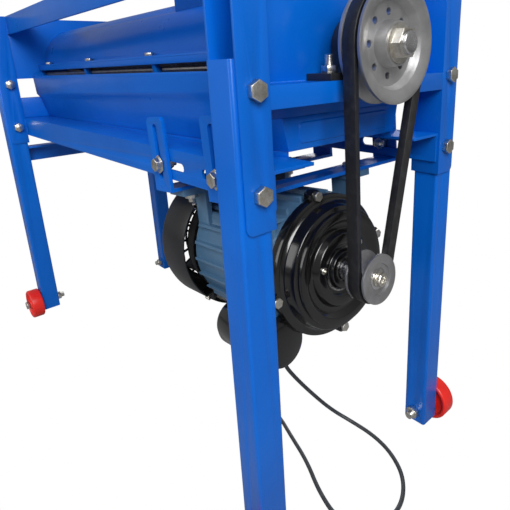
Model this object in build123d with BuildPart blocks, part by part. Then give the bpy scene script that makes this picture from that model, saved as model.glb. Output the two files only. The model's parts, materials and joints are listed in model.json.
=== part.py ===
from build123d import *
import math
import os

os.makedirs("parts", exist_ok=True)

# Corn sheller, millimetres. The drum shaft runs along X with its belt pulley at +X, the floor is
# z = 0 and the frame is centred on the origin.

# Legs and posts
leg_side = 40.0
leg_wall = 2.5
leg_corner = 4.0
leg_bottom = 17.5
leg_top = 645.0
frame_half_x = 497.0
frame_half_y = 200.0
post_wall = 3.0
post_depth = 38.0
post_bottom = 474.0
post_top = 770.0
post_corner = 8.0
leg_bolt_low = 514.0
leg_bolt_high = 616.0
leg_bolt_inset = 25.0
leg_bolt_radius = 6.0
leg_bolt_flats = 19.0
leg_bolt_head = 8.0
leg_nut_height = 10.0

# Wheels
wheel_radius = 37.5
wheel_width = 28.0
wheel_tread = 6.0
wheel_dish = 5.0
wheel_hub_radius = 13.0
wheel_gap = 1.5
axle_radius = 6.0
axle_fit = 0.06
axle_flats = 19.0
axle_head = 7.0

# Side rails, shelf and end members
rail_top = 535.0
rail_drop = 42.0
rail_flange = 60.0
rail_wall = 4.0
rail_slot_length = 76.0
rail_slot_width = 12.0
rail_slot_drop = 22.5
rail_slot_back = (242.0, 122.0)
upper_rail_drop = 40.0
upper_rail_flange = 40.0
shelf_top = 619.5
shelf_drop = 23.0
shelf_wall = 4.0
plate_wall = 3.0
drive_plate_bottom = 581.0
tail_plate_bottom = 628.5
tail_member_height = 47.5
tail_member_wall = 4.0
tail_member_flange = 36.0
tail_tie_top = 462.5
tail_tie_drop = 40.0
tail_tie_flange = 38.0

# Drum shaft, bearings and drum
bearing_centre = 36.5
shaft_radius = 12.5
shaft_overhang = 55.0
stub_radius = 11.0
stub_length = 50.0
bearing_fit = 0.05
bearing_spacing = 105.0
bearing_base_length = 140.0
bearing_base_width = 38.0
bearing_base_height = 8.0
bearing_barrel_radius = 34.0
bearing_barrel_width = 28.0
ring_outer_radius = 26.0
collar_radius = 17.0
collar_length = 34.0
flange_thickness = 12.0
flange_spacing = 99.0
flange_end_radius = 16.0
bearing_bolt_radius = 5.0
bearing_bolt_flats = 17.0
drum_radius = 45.0
drum_wall = 5.0
drum_end_gap = 19.0
disc_thickness = 8.0
tooth_side = 13.0
tooth_height = 23.0
tooth_rows = 4
teeth_per_row = 14
tooth_margin = 18.0

# Concave, hood, hopper and cob chute
concave_radius = 84.0
rod_radius = 4.0
rod_count = 14
rib_width = 9.0
rib_thickness = 6.0
rib_count = 4
side_bar_width = 20.0
side_bar_height = 10.0
hood_wall = 3.0
hood_bolt_radius = 4.0
hood_bolt_flats = 13.0
hood_bolt_columns = 4
throat_inset = 222.0
throat_length = 170.0
throat_width = 110.0
throat_top = 772.0
hopper_length = 330.0
hopper_width = 360.0
hopper_top = 985.0
hopper_wall = 2.0
hopper_rim = 12.0
cob_inset = 92.0
cob_base = 20.0
cob_length = 130.0
cob_rise = 60.0
cob_reach = 228.0
cob_drop = 44.0
cob_wall = 2.0

# Grain trough
trough_lip = 634.0
trough_lip_half = 121.0
trough_fold = 8.0
trough_wall = 2.0
trough_tail_depth = 99.0
trough_drive_depth = 92.0
trough_tail_bend_drop = 43.0
trough_tail_crease_drop = 52.5
trough_drive_bend_drop = 23.0
trough_drive_crease_drop = 34.5
trough_bend_half = 119.0
trough_crease_half = 112.0
trough_foot_half = 100.0
outlet_inset = 317.0
outlet_margin = 26.0

# Belt drive
groove_overhang = 23.0
pulley_width = 30.0
groove_top = 22.0
groove_bottom = 17.4
groove_depth = 13.0
drum_pulley_radius = 66.0
pulley_dish = 14.0
web_radius = 46.0
web_thickness = 7.0
pulley_hub_radius = 24.0
web_hole_radius = 4.2
web_hole_circle = 34.0
web_holes = 8
motor_pulley_radius = 32.0
motor_pulley_recess = 20.0
pulley_bolt_radius = 5.0
pulley_bolt_length = 22.0
belt_width = 16.0
belt_thickness = 10.0
belt_seat = 1.0
belt_bevel = 3.0
shaft_nut_flats = 30.0
shaft_nut_height = 16.0

# Motor, hung upside down under two straps and tipped up towards its pulley
motor_y = -25.0
motor_z = 379.5
motor_tilt = 4.0
motor_height = 112.0
foot_spacing = 190.0
strap_pitch = 140.0
strap_front = -110.0
strap_width = 44.0
strap_wall = 5.0
ear_height = 103.0
ear_corner = 5.0
ear_slot_length = 76.0
ear_slot_width = 12.0
ear_slot_middle = 168.0
strap_bolt_radius = 5.0
strap_bolt_flats = 17.0
strap_bolt_head = 7.0
strap_gap = 0.3
housing_radius = 94.0
housing_wall = 11.0
housing_rear = -262.0
housing_front = -82.0
fin_height = 7.0
fin_thickness = 4.0
fin_step = 25.0
fins_a_side = 3
foot_length = 46.0
foot_width = 40.0
foot_thickness = 10.0
gusset_thickness = 8.0
gusset_width = 34.0
gusset_x = 78.0
gusset_middle = 74.0
foot_bolt_radius = 5.0
shield_lip = -68.0
shield_face = -44.0
endshield_radius = 98.0
ring_1_radius = 87.0
ring_2_radius = 78.0
ring_3_radius = 53.0
ring_4_radius = 27.0
endshield_lug_circle = 100.0
endshield_lug_radius = 10.0
motor_shaft_radius = 14.0
motor_shaft_end = 12.0
motor_bearing_radius = 31.0
motor_bearing_width = 16.0
winding_radius = 72.0
winding_length = 22.0
stator_bore = 56.0
rotor_gap = 0.6
stator_length = 120.0
fan_radius = 88.0
fan_blades = 7
fan_rear = -334.0
fan_depth = 38.0
cover_radius = 111.0
cover_wall = 2.0
cover_rear = -350.0
cover_front = -271.0
cover_lug = 20.0
cover_corner = 14.0
grille_rings = 4
grille_ribs = 12
grille_hub = 22.0
grille_bar = 4.0
cap_radius = 35.0
cap_length = 115.0
cap_core = 16.0
cap_near = (-86.0, -85.0)
cap_near_front = -75.0
cap_far = (60.0, -90.0)
cap_far_front = -100.0
box_x = -13.0
box_width = 62.0
box_length = 70.0
box_front = -140.0
box_depth = 30.0

# Mains cord
cord_radius = 3.3
cord_floor = 3.6
gland_radius = 9.0
gland_hex = 6.0
gland_length = 30.0
plug_half = 12.0

shaft_z = shelf_top + bearing_centre
post_web = frame_half_y - leg_side - post_wall
leg_x = frame_half_x - leg_side / 2
leg_y = frame_half_y - leg_side / 2
axle_z = wheel_radius
plate_x = frame_half_x - leg_side
plate_out = plate_x + plate_wall
shaft_half = frame_half_x + shaft_overhang
groove_x = frame_half_x + groove_overhang
rail_slot_x = [groove_x - back for back in rail_slot_back]
drum_half = plate_x - drum_end_gap
tooth_pitch = 2 * (drum_half - tooth_margin) / teeth_per_row
throat_x = plate_x - throat_inset
cob_x = cob_inset - plate_x
outlet_end = plate_x - outlet_inset
trough_tail_foot = trough_lip - trough_tail_depth
trough_drive_foot = trough_lip - trough_drive_depth
trough_tail_bend = trough_lip - trough_tail_bend_drop
trough_tail_crease = trough_lip - trough_tail_crease_drop
trough_drive_bend = trough_lip - trough_drive_bend_drop
trough_drive_crease = trough_lip - trough_drive_crease_drop
corners = {
    "drive_near": (1, -1),
    "drive_far": (1, 1),
    "tail_near": (-1, -1),
    "tail_far": (-1, 1),
}
ends = {"near": -1, "far": 1}


def keep(part, name):
    part.label = name
    export_step(part, f"parts/{name}.step")


def seat(x, y, z, direction):
    return Plane(origin=(x, y, z), z_dir=direction).location


def make_bolt(radius, length, flats, head):
    with BuildPart() as bolt:
        with BuildSketch():
            RegularPolygon(flats / 2, 6, major_radius=False)
        extrude(amount=head)
        chamfer(bolt.edges().group_by(Axis.Z)[-1], 0.8)
        with BuildSketch():
            Circle(radius)
        extrude(amount=-length)
    return bolt.part


def make_nut(radius, flats, height):
    with BuildPart() as nut:
        with BuildSketch():
            RegularPolygon(flats / 2, 6, major_radius=False)
            Circle(radius, mode=Mode.SUBTRACT)
        extrude(amount=height)
    return nut.part


# Angle along X with its outer corner on the origin, reaching down and towards the middle
def make_angle(length, drop, flange, wall, side):
    with BuildPart() as angle:
        with BuildSketch(Plane.YZ.offset(-length / 2)):
            with BuildLine():
                Polyline(
                    (0, 0),
                    (-side * flange, 0),
                    (-side * flange, -wall),
                    (-side * wall, -wall),
                    (-side * wall, -drop),
                    (0, -drop),
                    close=True,
                )
            make_face()
        extrude(amount=length)
    return angle.part


# Legs: square tubes with two cross bolts at the top and the axle at the foot
bolt_places = [
    (sx * leg_x, sy * (frame_half_y - leg_bolt_inset), bolt_z)
    for sx, sy in corners.values()
    for bolt_z in (leg_bolt_low, leg_bolt_high)
]
with BuildPart() as legs:
    with BuildSketch(Plane.XY.offset(leg_bottom)):
        with GridLocations(2 * leg_x, 2 * leg_y, 2, 2):
            RectangleRounded(leg_side, leg_side, leg_corner)
            Rectangle(leg_side - 2 * leg_wall, leg_side - 2 * leg_wall, mode=Mode.SUBTRACT)
    extrude(amount=leg_top - leg_bottom)
    with Locations(*[seat(*place, (1, 0, 0)) for place in bolt_places]):
        Hole(leg_bolt_radius, depth=leg_side)
    with Locations(*[seat(sx * leg_x, sy * leg_y, axle_z, (0, 1, 0)) for sx, sy in corners.values()]):
        Hole(axle_radius, depth=leg_side)
keep(legs.part, "legs")

# Posts: folded channels that hold the legs, open towards the outside
with BuildPart() as posts:
    with BuildSketch(Plane.XY.offset(post_bottom)):
        for sx, sy in corners.values():
            with Locations((sx * leg_x, sy * (post_web + post_depth / 2))):
                Rectangle(leg_side + 2 * post_wall, post_depth)
            with Locations((sx * leg_x, sy * (post_web + post_wall + post_depth / 2))):
                Rectangle(leg_side, post_depth, mode=Mode.SUBTRACT)
    extrude(amount=post_top - post_bottom)
    flange_ends = posts.edges().filter_by(Axis.X).group_by(Axis.Y)
    fillet(flange_ends[0] + flange_ends[-1], post_corner)
    with Locations(*[seat(*place, (1, 0, 0)) for place in bolt_places]):
        Hole(leg_bolt_radius, depth=leg_side)
keep(posts.part, "posts")

# Leg bolts: heads on the outward face of every post
bolt_grip = leg_side + 2 * post_wall
leg_bolt = make_bolt(leg_bolt_radius, bolt_grip + leg_nut_height + 5, leg_bolt_flats, leg_bolt_head)
leg_nut = make_nut(leg_bolt_radius, leg_bolt_flats, leg_nut_height)
with BuildPart() as leg_bolts:
    for sx, sy in corners.values():
        for bolt_z in (leg_bolt_low, leg_bolt_high):
            head_x = sx * (leg_x + bolt_grip / 2)
            add(leg_bolt.moved(seat(head_x, sy * (frame_half_y - leg_bolt_inset), bolt_z, (sx, 0, 0))))
            nut_x = sx * (leg_x - bolt_grip / 2)
            add(leg_nut.moved(seat(nut_x, sy * (frame_half_y - leg_bolt_inset), bolt_z, (-sx, 0, 0))))
keep(leg_bolts.part, "leg_bolts")

# Wheels: dished plastic rollers on their axle bolts, outside the legs
wheel_middle = frame_half_y + wheel_gap + wheel_width / 2
for corner, (sx, sy) in corners.items():
    with BuildPart() as wheel:
        hub_plane = Plane(origin=(sx * leg_x, sy * wheel_middle, axle_z), x_dir=(1, 0, 0), z_dir=(0, 1, 0))
        with BuildSketch(hub_plane):
            Circle(wheel_radius)
            Circle(axle_radius + axle_fit, mode=Mode.SUBTRACT)
        extrude(amount=wheel_width / 2, both=True)
        fillet(wheel.edges().filter_by(GeomType.CIRCLE).group_by(SortBy.RADIUS)[-1], 3)
        for face_side in (-1, 1):
            with BuildSketch(hub_plane.offset(face_side * wheel_width / 2)):
                Circle(wheel_radius - wheel_tread)
                Circle(wheel_hub_radius, mode=Mode.SUBTRACT)
            extrude(amount=-face_side * wheel_dish, mode=Mode.SUBTRACT)
    keep(wheel.part, f"wheel_{corner}")

axle_grip = wheel_gap + wheel_width + wheel_gap + leg_side
axle_bolt = make_bolt(axle_radius, axle_grip + 18, axle_flats, axle_head)
axle_nut = make_nut(axle_radius, axle_flats, 10)
axle_washer = make_nut(axle_radius, 22, wheel_gap - 0.3)
with BuildPart() as axle_bolts:
    for sx, sy in corners.values():
        head_y = sy * (wheel_middle + wheel_width / 2 + wheel_gap)
        add(axle_bolt.moved(seat(sx * leg_x, head_y, axle_z, (0, sy, 0))))
        add(axle_nut.moved(seat(sx * leg_x, sy * (frame_half_y - leg_side), axle_z, (0, -sy, 0))))
        add(axle_washer.moved(seat(sx * leg_x, sy * frame_half_y, axle_z, (0, sy, 0))))
keep(axle_bolts.part, "axle_bolts")

# Motor placing: local x runs across, local y up and local z along the motor shaft
tilt = math.radians(motor_tilt)
motor_axis = (math.cos(tilt), 0, math.sin(tilt))
motor_up = Vector(-math.sin(tilt), 0, math.cos(tilt))
motor_plane = Plane(origin=(groove_x, motor_y, motor_z), x_dir=(0, 1, 0), z_dir=motor_axis)
motor_side = Plane(origin=motor_plane.origin, x_dir=motor_axis, z_dir=(0, -1, 0))
strap_places = (strap_front, strap_front - strap_pitch)
slot_z = rail_top - rail_slot_drop
strap_bolt_x = [
    groove_x + place / math.cos(tilt) - (slot_z - motor_z) * math.tan(tilt) for place in strap_places
]

# Side rails: lower pair slotted for the motor straps, upper pair plain
for name, side in ends.items():
    with BuildPart() as lower_rail:
        add(
            make_angle(2 * frame_half_x, rail_drop, rail_flange, rail_wall, side).moved(
                Location((0, side * post_web, rail_top))
            )
        )
        with BuildSketch(Plane.XZ.offset(-side * post_web)):
            with Locations(*[(x, slot_z) for x in rail_slot_x]):
                SlotOverall(rail_slot_length, rail_slot_width)
        extrude(amount=side * rail_wall, mode=Mode.SUBTRACT)
    keep(lower_rail.part, f"lower_rail_{name}")

    with BuildPart() as upper_rail:
        add(
            make_angle(2 * frame_half_x, upper_rail_drop, upper_rail_flange, rail_wall, side).moved(
                Location((0, side * post_web, post_top))
            )
        )
    keep(upper_rail.part, f"upper_rail_{name}")

# Bearing shelf between the two drive posts
with BuildPart() as shelf:
    with BuildSketch(Plane.XZ.offset(-post_web)):
        with BuildLine():
            shelf_face = frame_half_x + post_wall
            Polyline(
                (shelf_face, shelf_top),
                (plate_out, shelf_top),
                (plate_out, shelf_top - shelf_wall),
                (shelf_face - shelf_wall, shelf_top - shelf_wall),
                (shelf_face - shelf_wall, shelf_top - shelf_drop),
                (shelf_face, shelf_top - shelf_drop),
                close=True,
            )
        make_face()
    extrude(amount=2 * post_web)
    bearing_x = (plate_out + shelf_face) / 2
    with Locations((bearing_x, bearing_spacing / 2, shelf_top), (bearing_x, -bearing_spacing / 2, shelf_top)):
        Hole(bearing_bolt_radius)
keep(shelf.part, "drive_shelf")

# End plates close the drum casing; both are notched round the upper rails
plate_inner = post_web - rail_wall
plate_top = post_top - rail_wall
for name, sx, bottom in (("drive", 1, drive_plate_bottom), ("tail", -1, tail_plate_bottom)):
    with BuildPart() as end_plate:
        with BuildSketch(Plane.YZ.offset(sx * plate_x)):
            with BuildLine():
                notch = post_top - upper_rail_drop
                Polyline((0, bottom), (post_web, bottom), (post_web, notch), (plate_inner, notch))
                Polyline((plate_inner, notch), (plate_inner, plate_top), (0, plate_top))
                mirror(about=Plane.YZ)
            make_face()
            with Locations((0, shaft_z)):
                Circle(collar_radius + 2, mode=Mode.SUBTRACT)
            if sx < 0:
                with Locations((-flange_spacing / 2, shaft_z), (flange_spacing / 2, shaft_z)):
                    Circle(bearing_bolt_radius, mode=Mode.SUBTRACT)
        extrude(amount=sx * plate_wall)
    keep(end_plate.part, f"{name}_end_plate")

# Tail cross members
with BuildPart() as tail_member:
    with BuildSketch(Plane.XZ.offset(-post_web)):
        with BuildLine():
            member_top = rail_top + tail_member_height
            Polyline(
                (-plate_x, rail_top),
                (-plate_x, member_top),
                (-plate_x - tail_member_flange, member_top),
                (-plate_x - tail_member_flange, member_top - tail_member_wall),
                (-plate_x - tail_member_wall, member_top - tail_member_wall),
                (-plate_x - tail_member_wall, rail_top),
                close=True,
            )
        make_face()
    extrude(amount=2 * post_web)
keep(tail_member.part, "tail_upper_member")

with BuildPart() as tail_tie:
    tie_half = frame_half_y - leg_side
    with BuildSketch(Plane.XZ.offset(-tie_half)):
        with BuildLine():
            Polyline(
                (-plate_x, tail_tie_top),
                (-plate_x - tail_tie_flange, tail_tie_top),
                (-plate_x - tail_tie_flange, tail_tie_top - tail_tie_drop),
                (-plate_x - tail_tie_flange + rail_wall, tail_tie_top - tail_tie_drop),
                (-plate_x - tail_tie_flange + rail_wall, tail_tie_top - rail_wall),
                (-plate_x, tail_tie_top - rail_wall),
                close=True,
            )
        make_face()
    extrude(amount=2 * tie_half)
keep(tail_tie.part, "tail_lower_member")


# Grain trough: a folded sheet whose creases climb towards the drive end
with BuildPart() as trough:
    for x, bend, crease, foot in (
        (-plate_x, trough_tail_bend, trough_tail_crease, trough_tail_foot),
        (plate_x, trough_drive_bend, trough_drive_crease, trough_drive_foot),
    ):
        with BuildSketch(Plane.YZ.offset(x)):
            with BuildLine():
                outer = (
                    (trough_foot_half, foot),
                    (trough_crease_half, crease),
                    (trough_bend_half, bend),
                    (trough_lip_half, trough_lip),
                    (trough_lip_half - trough_fold, trough_lip),
                    (trough_lip_half - trough_fold, trough_lip - trough_wall),
                    (trough_lip_half - trough_wall, trough_lip - trough_wall),
                    (trough_bend_half - trough_wall, bend),
                    (trough_crease_half - trough_wall, crease + trough_wall / 2),
                    (trough_foot_half - trough_wall, foot + trough_wall),
                )
                Polyline((0, foot), *outer, (0, foot + trough_wall))
                mirror(about=Plane.YZ)
            make_face()
    loft(ruled=True)
    with BuildSketch(Plane.XY.offset(trough_tail_foot - 1)):
        outlet_length = outlet_end + plate_x - outlet_margin
        with Locations((outlet_end - outlet_length / 2, 0)):
            RectangleRounded(outlet_length, 2 * (trough_foot_half - trough_wall - 6), 12)
    extrude(amount=20, mode=Mode.SUBTRACT)
    with BuildSketch(Plane.YZ.offset(plate_x)):
        with BuildLine():
            wall_slope = (trough_crease_half - trough_foot_half) / (trough_drive_crease - trough_drive_foot)
            wall_top_half = trough_foot_half + (drive_plate_bottom - trough_drive_foot) * wall_slope
            Polyline(
                (0, trough_drive_foot),
                (trough_foot_half, trough_drive_foot),
                (wall_top_half, drive_plate_bottom),
                (0, drive_plate_bottom),
            )
            mirror(about=Plane.YZ)
        make_face()
    extrude(amount=plate_wall)
    with BuildSketch(Plane.YZ.offset(plate_out)):
        with Locations((0, (trough_drive_foot + drive_plate_bottom) / 2)):
            RectangleRounded(2 * trough_foot_half - 32, drive_plate_bottom - trough_drive_foot - 14, 7)
    extrude(amount=1.5, taper=30)
keep(trough.part, "grain_trough")

# Concave: bars along the drum, hung on ribs between two side bars
with BuildPart() as concave_frame:
    for side in ends.values():
        with BuildSketch(Plane.YZ.offset(-plate_x)):
            with Locations((side * (concave_radius + side_bar_width / 2), shaft_z - side_bar_height / 2)):
                Rectangle(side_bar_width, side_bar_height)
        extrude(amount=2 * plate_x)
    rib_inner = concave_radius + 2 * rod_radius
    rib_pitch = 2 * (plate_x - rib_thickness) / (rib_count - 1)
    for i in range(rib_count):
        with BuildSketch(Plane.YZ.offset(-plate_x + i * rib_pitch)):
            with Locations((0, shaft_z)):
                Circle(rib_inner + rib_width)
                Circle(rib_inner, mode=Mode.SUBTRACT)
            with Locations((0, shaft_z - side_bar_height + rib_inner + rib_width)):
                Rectangle(3 * rib_inner, 2 * (rib_inner + rib_width), mode=Mode.SUBTRACT)
        extrude(amount=2 * rib_thickness if 0 < i < rib_count - 1 else rib_thickness)
keep(concave_frame.part, "concave_frame")

with BuildPart() as concave_rods:
    rod_circle = concave_radius + rod_radius
    first_angle = 12.0
    with BuildSketch(Plane.YZ.offset(-plate_x)):
        with Locations((0, shaft_z)):
            with PolarLocations(rod_circle, rod_count, 180 + first_angle, 180 - 2 * first_angle, endpoint=True):
                Circle(rod_radius)
    extrude(amount=2 * plate_x)
keep(concave_rods.part, "concave_rods")

# Hood: half shell over the drum with side flanges, feed throat and cob outlet
hood_radius = concave_radius + hood_wall
with BuildPart() as hood:
    with BuildSketch(Plane.YZ.offset(-plate_x)):
        with Locations((0, shaft_z)):
            Circle(hood_radius)
        with Locations((0, shaft_z + hood_wall / 2)):
            Rectangle(2 * (concave_radius + side_bar_width), hood_wall)
        with Locations((0, shaft_z)):
            Circle(concave_radius, mode=Mode.SUBTRACT)
        with Locations((0, shaft_z - hood_radius)):
            Rectangle(4 * hood_radius, 2 * hood_radius, mode=Mode.SUBTRACT)
    extrude(amount=2 * plate_x)
    with BuildSketch(Plane.XY.offset(shaft_z + concave_radius / 2)):
        with Locations((throat_x, 0)):
            RectangleRounded(throat_length, throat_width, 8)
    extrude(amount=hood_radius, mode=Mode.SUBTRACT)
    with BuildSketch(Plane.XZ.offset(-concave_radius / 3)):
        with Locations((cob_x, shaft_z + cob_base + cob_rise / 2)):
            Rectangle(cob_length, cob_rise)
    extrude(amount=-hood_radius, mode=Mode.SUBTRACT)
    hood_bolt_y = hood_radius + (concave_radius + side_bar_width - hood_radius) / 2
    hood_bolt_pitch = 2 * (plate_x - 60) / (hood_bolt_columns - 1)
    with Locations((0, 0, shaft_z + hood_wall)):
        with GridLocations(hood_bolt_pitch, 2 * hood_bolt_y, hood_bolt_columns, 2):
            Hole(hood_bolt_radius, depth=hood_wall)
keep(hood.part, "hood")

with BuildPart() as hood_bolts:
    hood_bolt = make_bolt(hood_bolt_radius, hood_wall, hood_bolt_flats, 5.5)
    with Locations((0, 0, shaft_z + hood_wall)):
        with GridLocations(hood_bolt_pitch, 2 * hood_bolt_y, hood_bolt_columns, 2):
            add(hood_bolt)
keep(hood_bolts.part, "hood_bolts")

# Feed hopper: collar down to the hood, flared body and rolled rim
with BuildPart() as hopper:
    with BuildSketch(Plane.XY.offset(shaft_z + concave_radius / 2)):
        with Locations((throat_x, 0)):
            RectangleRounded(throat_length, throat_width, 8)
    extrude(amount=throat_top - shaft_z - concave_radius / 2)
    with BuildSketch(Plane.XY.offset(throat_top)):
        with Locations((throat_x, 0)):
            RectangleRounded(throat_length, throat_width, 8)
    with BuildSketch(Plane.XY.offset(hopper_top)):
        with Locations((throat_x, 0)):
            RectangleRounded(hopper_length, hopper_width, 20)
    loft()
    lower_mouth = hopper.faces().sort_by(Axis.Z)[0]
    upper_mouth = hopper.faces().sort_by(Axis.Z)[-1]
    offset(amount=-hopper_wall, openings=[lower_mouth, upper_mouth])
    with BuildSketch(Plane.XY.offset(hopper_top)):
        with Locations((throat_x, 0)):
            RectangleRounded(hopper_length + 2 * hopper_rim, hopper_width + 2 * hopper_rim, 20 + hopper_rim)
            RectangleRounded(
                hopper_length - 2 * hopper_wall, hopper_width - 2 * hopper_wall, 18, mode=Mode.SUBTRACT
            )
    extrude(amount=-3)
    with BuildSketch(Plane.YZ.offset(throat_x - throat_length)):
        with Locations((0, shaft_z)):
            Circle(concave_radius)
    extrude(amount=2 * throat_length, mode=Mode.SUBTRACT)
keep(hopper.part, "feed_hopper")

# Cob chute: open channel from the hood's far side down over the rail
with BuildPart() as cob_chute:
    chute_base = shaft_z + cob_base
    run = cob_reach - concave_radius + 4
    with BuildSketch(Plane.YZ.offset(cob_x - cob_length / 2)):
        with BuildLine():
            Polyline(
                (concave_radius - 4, chute_base),
                (cob_reach, chute_base - cob_drop),
                (cob_reach, chute_base - cob_drop + 0.8 * cob_rise),
                (concave_radius - 4, chute_base + 0.9 * cob_rise),
                close=True,
            )
        make_face()
    extrude(amount=cob_length)
    with BuildSketch(Plane.YZ.offset(cob_x - cob_length / 2 + cob_wall)):
        with BuildLine():
            Polyline(
                (concave_radius - 14, chute_base + 10 * cob_drop / run + cob_wall),
                (cob_reach + 10, chute_base - cob_drop * (1 + 10 / run) + cob_wall),
                (cob_reach + 10, chute_base + 2 * cob_rise),
                (concave_radius - 14, chute_base + 2 * cob_rise),
                close=True,
            )
        make_face()
    extrude(amount=cob_length - 2 * cob_wall, mode=Mode.SUBTRACT)
    with BuildSketch(Plane.YZ.offset(cob_x - cob_length)):
        with Locations((0, shaft_z)):
            Circle(hood_radius)
    extrude(amount=2 * cob_length, mode=Mode.SUBTRACT)
keep(cob_chute.part, "cob_chute")

# Drum shaft with its two bearings
with BuildPart() as drum_shaft:
    with BuildSketch(Plane.YZ.offset(stub_length - shaft_half)):
        with Locations((0, shaft_z)):
            Circle(shaft_radius)
    extrude(amount=2 * shaft_half - stub_length)
    with BuildSketch(Plane.YZ.offset(-shaft_half)):
        with Locations((0, shaft_z)):
            Circle(stub_radius)
    extrude(amount=stub_length)
    shaft_rims = drum_shaft.edges().filter_by(GeomType.CIRCLE).sort_by(Axis.X)
    chamfer([shaft_rims[0], shaft_rims[-1]], 1.5)
keep(drum_shaft.part, "drum_shaft")

with BuildPart() as pillow_block:
    with BuildSketch(Plane.YZ.offset(bearing_x - bearing_base_width / 2)):
        with Locations((0, shelf_top + bearing_base_height / 2)):
            Rectangle(bearing_base_length, bearing_base_height)
    extrude(amount=bearing_base_width)
    with BuildSketch(Plane.YZ.offset(bearing_x - bearing_barrel_width / 2)):
        with Locations((0, shaft_z)):
            Circle(bearing_barrel_radius)
        with Locations((0, (shelf_top + shaft_z) / 2)):
            Rectangle(2 * bearing_barrel_radius, shaft_z - shelf_top)
    extrude(amount=bearing_barrel_width)
    with BuildSketch(Plane.YZ.offset(bearing_x - bearing_barrel_width)):
        with Locations((0, shaft_z)):
            Circle(ring_outer_radius)
    extrude(amount=2 * bearing_barrel_width, mode=Mode.SUBTRACT)
    base_top = Plane.XY.offset(shelf_top + bearing_base_height)
    with BuildSketch(base_top):
        with Locations((bearing_x, bearing_spacing / 2), (bearing_x, -bearing_spacing / 2)):
            Circle(bearing_bolt_radius)
    extrude(amount=-bearing_base_height, mode=Mode.SUBTRACT)
keep(pillow_block.part, "pillow_block")

flange_face = -plate_out
with BuildPart() as flange_bearing:
    with BuildSketch(Plane.YZ.offset(flange_face)):
        with Locations((0, shaft_z)):
            Circle(bearing_barrel_radius + 2)
        with Locations((-flange_spacing / 2, shaft_z), (flange_spacing / 2, shaft_z)):
            Circle(flange_end_radius)
        make_hull()
        with Locations((-flange_spacing / 2, shaft_z), (flange_spacing / 2, shaft_z)):
            Circle(bearing_bolt_radius, mode=Mode.SUBTRACT)
    extrude(amount=-flange_thickness)
    with BuildSketch(Plane.YZ.offset(flange_face)):
        with Locations((0, shaft_z)):
            Circle(bearing_barrel_radius)
    extrude(amount=-bearing_barrel_width)
    with BuildSketch(Plane.YZ.offset(flange_face)):
        with Locations((0, shaft_z)):
            Circle(ring_outer_radius)
    extrude(amount=-bearing_barrel_width, mode=Mode.SUBTRACT)
keep(flange_bearing.part, "flange_bearing")

# Bearing rings: the outer pair sits in the castings, the collars turn with the shaft
flange_ring_x = flange_face - bearing_barrel_width / 2
with BuildPart() as outer_rings:
    for ring_x in (bearing_x, flange_ring_x):
        with BuildSketch(Plane.YZ.offset(ring_x)):
            with Locations((0, shaft_z)):
                Circle(ring_outer_radius)
                Circle(collar_radius + bearing_fit, mode=Mode.SUBTRACT)
        extrude(amount=bearing_barrel_width / 2 - 4, both=True)
keep(outer_rings.part, "bearing_outer_rings")

with BuildPart() as collars:
    for ring_x in (bearing_x, flange_ring_x):
        with BuildSketch(Plane.YZ.offset(ring_x)):
            with Locations((0, shaft_z)):
                Circle(collar_radius)
                Circle(shaft_radius, mode=Mode.SUBTRACT)
        extrude(amount=collar_length / 2, both=True)
keep(collars.part, "bearing_collars")

# Bearing bolts: studs up through the shelf, bolts in from outside the tail plate
with BuildPart() as bearing_bolts:
    stud_height = bearing_base_height + shelf_wall + 20
    stud = make_bolt(bearing_bolt_radius, stud_height, bearing_bolt_flats, 6.5)
    stud_nut = make_nut(bearing_bolt_radius, bearing_bolt_flats, 8)
    tail_bolt = make_bolt(bearing_bolt_radius, flange_thickness + plate_wall + 14, bearing_bolt_flats, 6.5)
    for side in ends.values():
        add(stud.moved(seat(bearing_x, side * bearing_spacing / 2, shelf_top - shelf_wall, (0, 0, -1))))
        tail_seat = seat(flange_face - flange_thickness, side * flange_spacing / 2, shaft_z, (-1, 0, 0))
        add(tail_bolt.moved(tail_seat))
        nut_z = shelf_top + bearing_base_height
        add(stud_nut.moved(seat(bearing_x, side * bearing_spacing / 2, nut_z, (0, 0, 1))))
        add(stud_nut.moved(seat(-plate_x, side * flange_spacing / 2, shaft_z, (1, 0, 0))))
keep(bearing_bolts.part, "bearing_bolts")

# Drum: tube on two discs, with square teeth set on a spiral
with BuildPart() as drum:
    with BuildSketch(Plane.YZ.offset(-drum_half)):
        with Locations((0, shaft_z)):
            Circle(drum_radius)
            Circle(drum_radius - drum_wall, mode=Mode.SUBTRACT)
    extrude(amount=2 * drum_half)
    for disc_x in (-drum_half, 0, drum_half):
        inward = -math.copysign(disc_thickness, disc_x)
        with BuildSketch(Plane.YZ.offset(disc_x)):
            with Locations((0, shaft_z)):
                Circle(drum_radius - drum_wall)
                Circle(shaft_radius, mode=Mode.SUBTRACT)
        extrude(amount=inward)
keep(drum.part, "drum_tube")

with BuildPart() as drum_teeth:
    drum_axis = Plane(origin=(0, 0, shaft_z), x_dir=(0, 1, 0), z_dir=(1, 0, 0))
    for row in range(tooth_rows):
        for i in range(teeth_per_row):
            tooth_x = (i - (teeth_per_row - 1) / 2) * tooth_pitch + (row - 1.5) * tooth_pitch / tooth_rows
            turn = Location((0, 0, 0), (row * 360 / tooth_rows + i * 8, 0, 0))
            spoke = Plane(Location((tooth_x, 0, shaft_z)) * turn)
            with BuildSketch(spoke.offset(drum_radius - 1)):
                Rectangle(tooth_side, tooth_side)
            extrude(amount=tooth_height + 1)
    with BuildSketch(Plane.YZ.offset(-drum_half)):
        with Locations((0, shaft_z)):
            Circle(drum_radius)
    extrude(amount=2 * drum_half, mode=Mode.SUBTRACT)
keep(drum_teeth.part, "drum_teeth")


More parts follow.
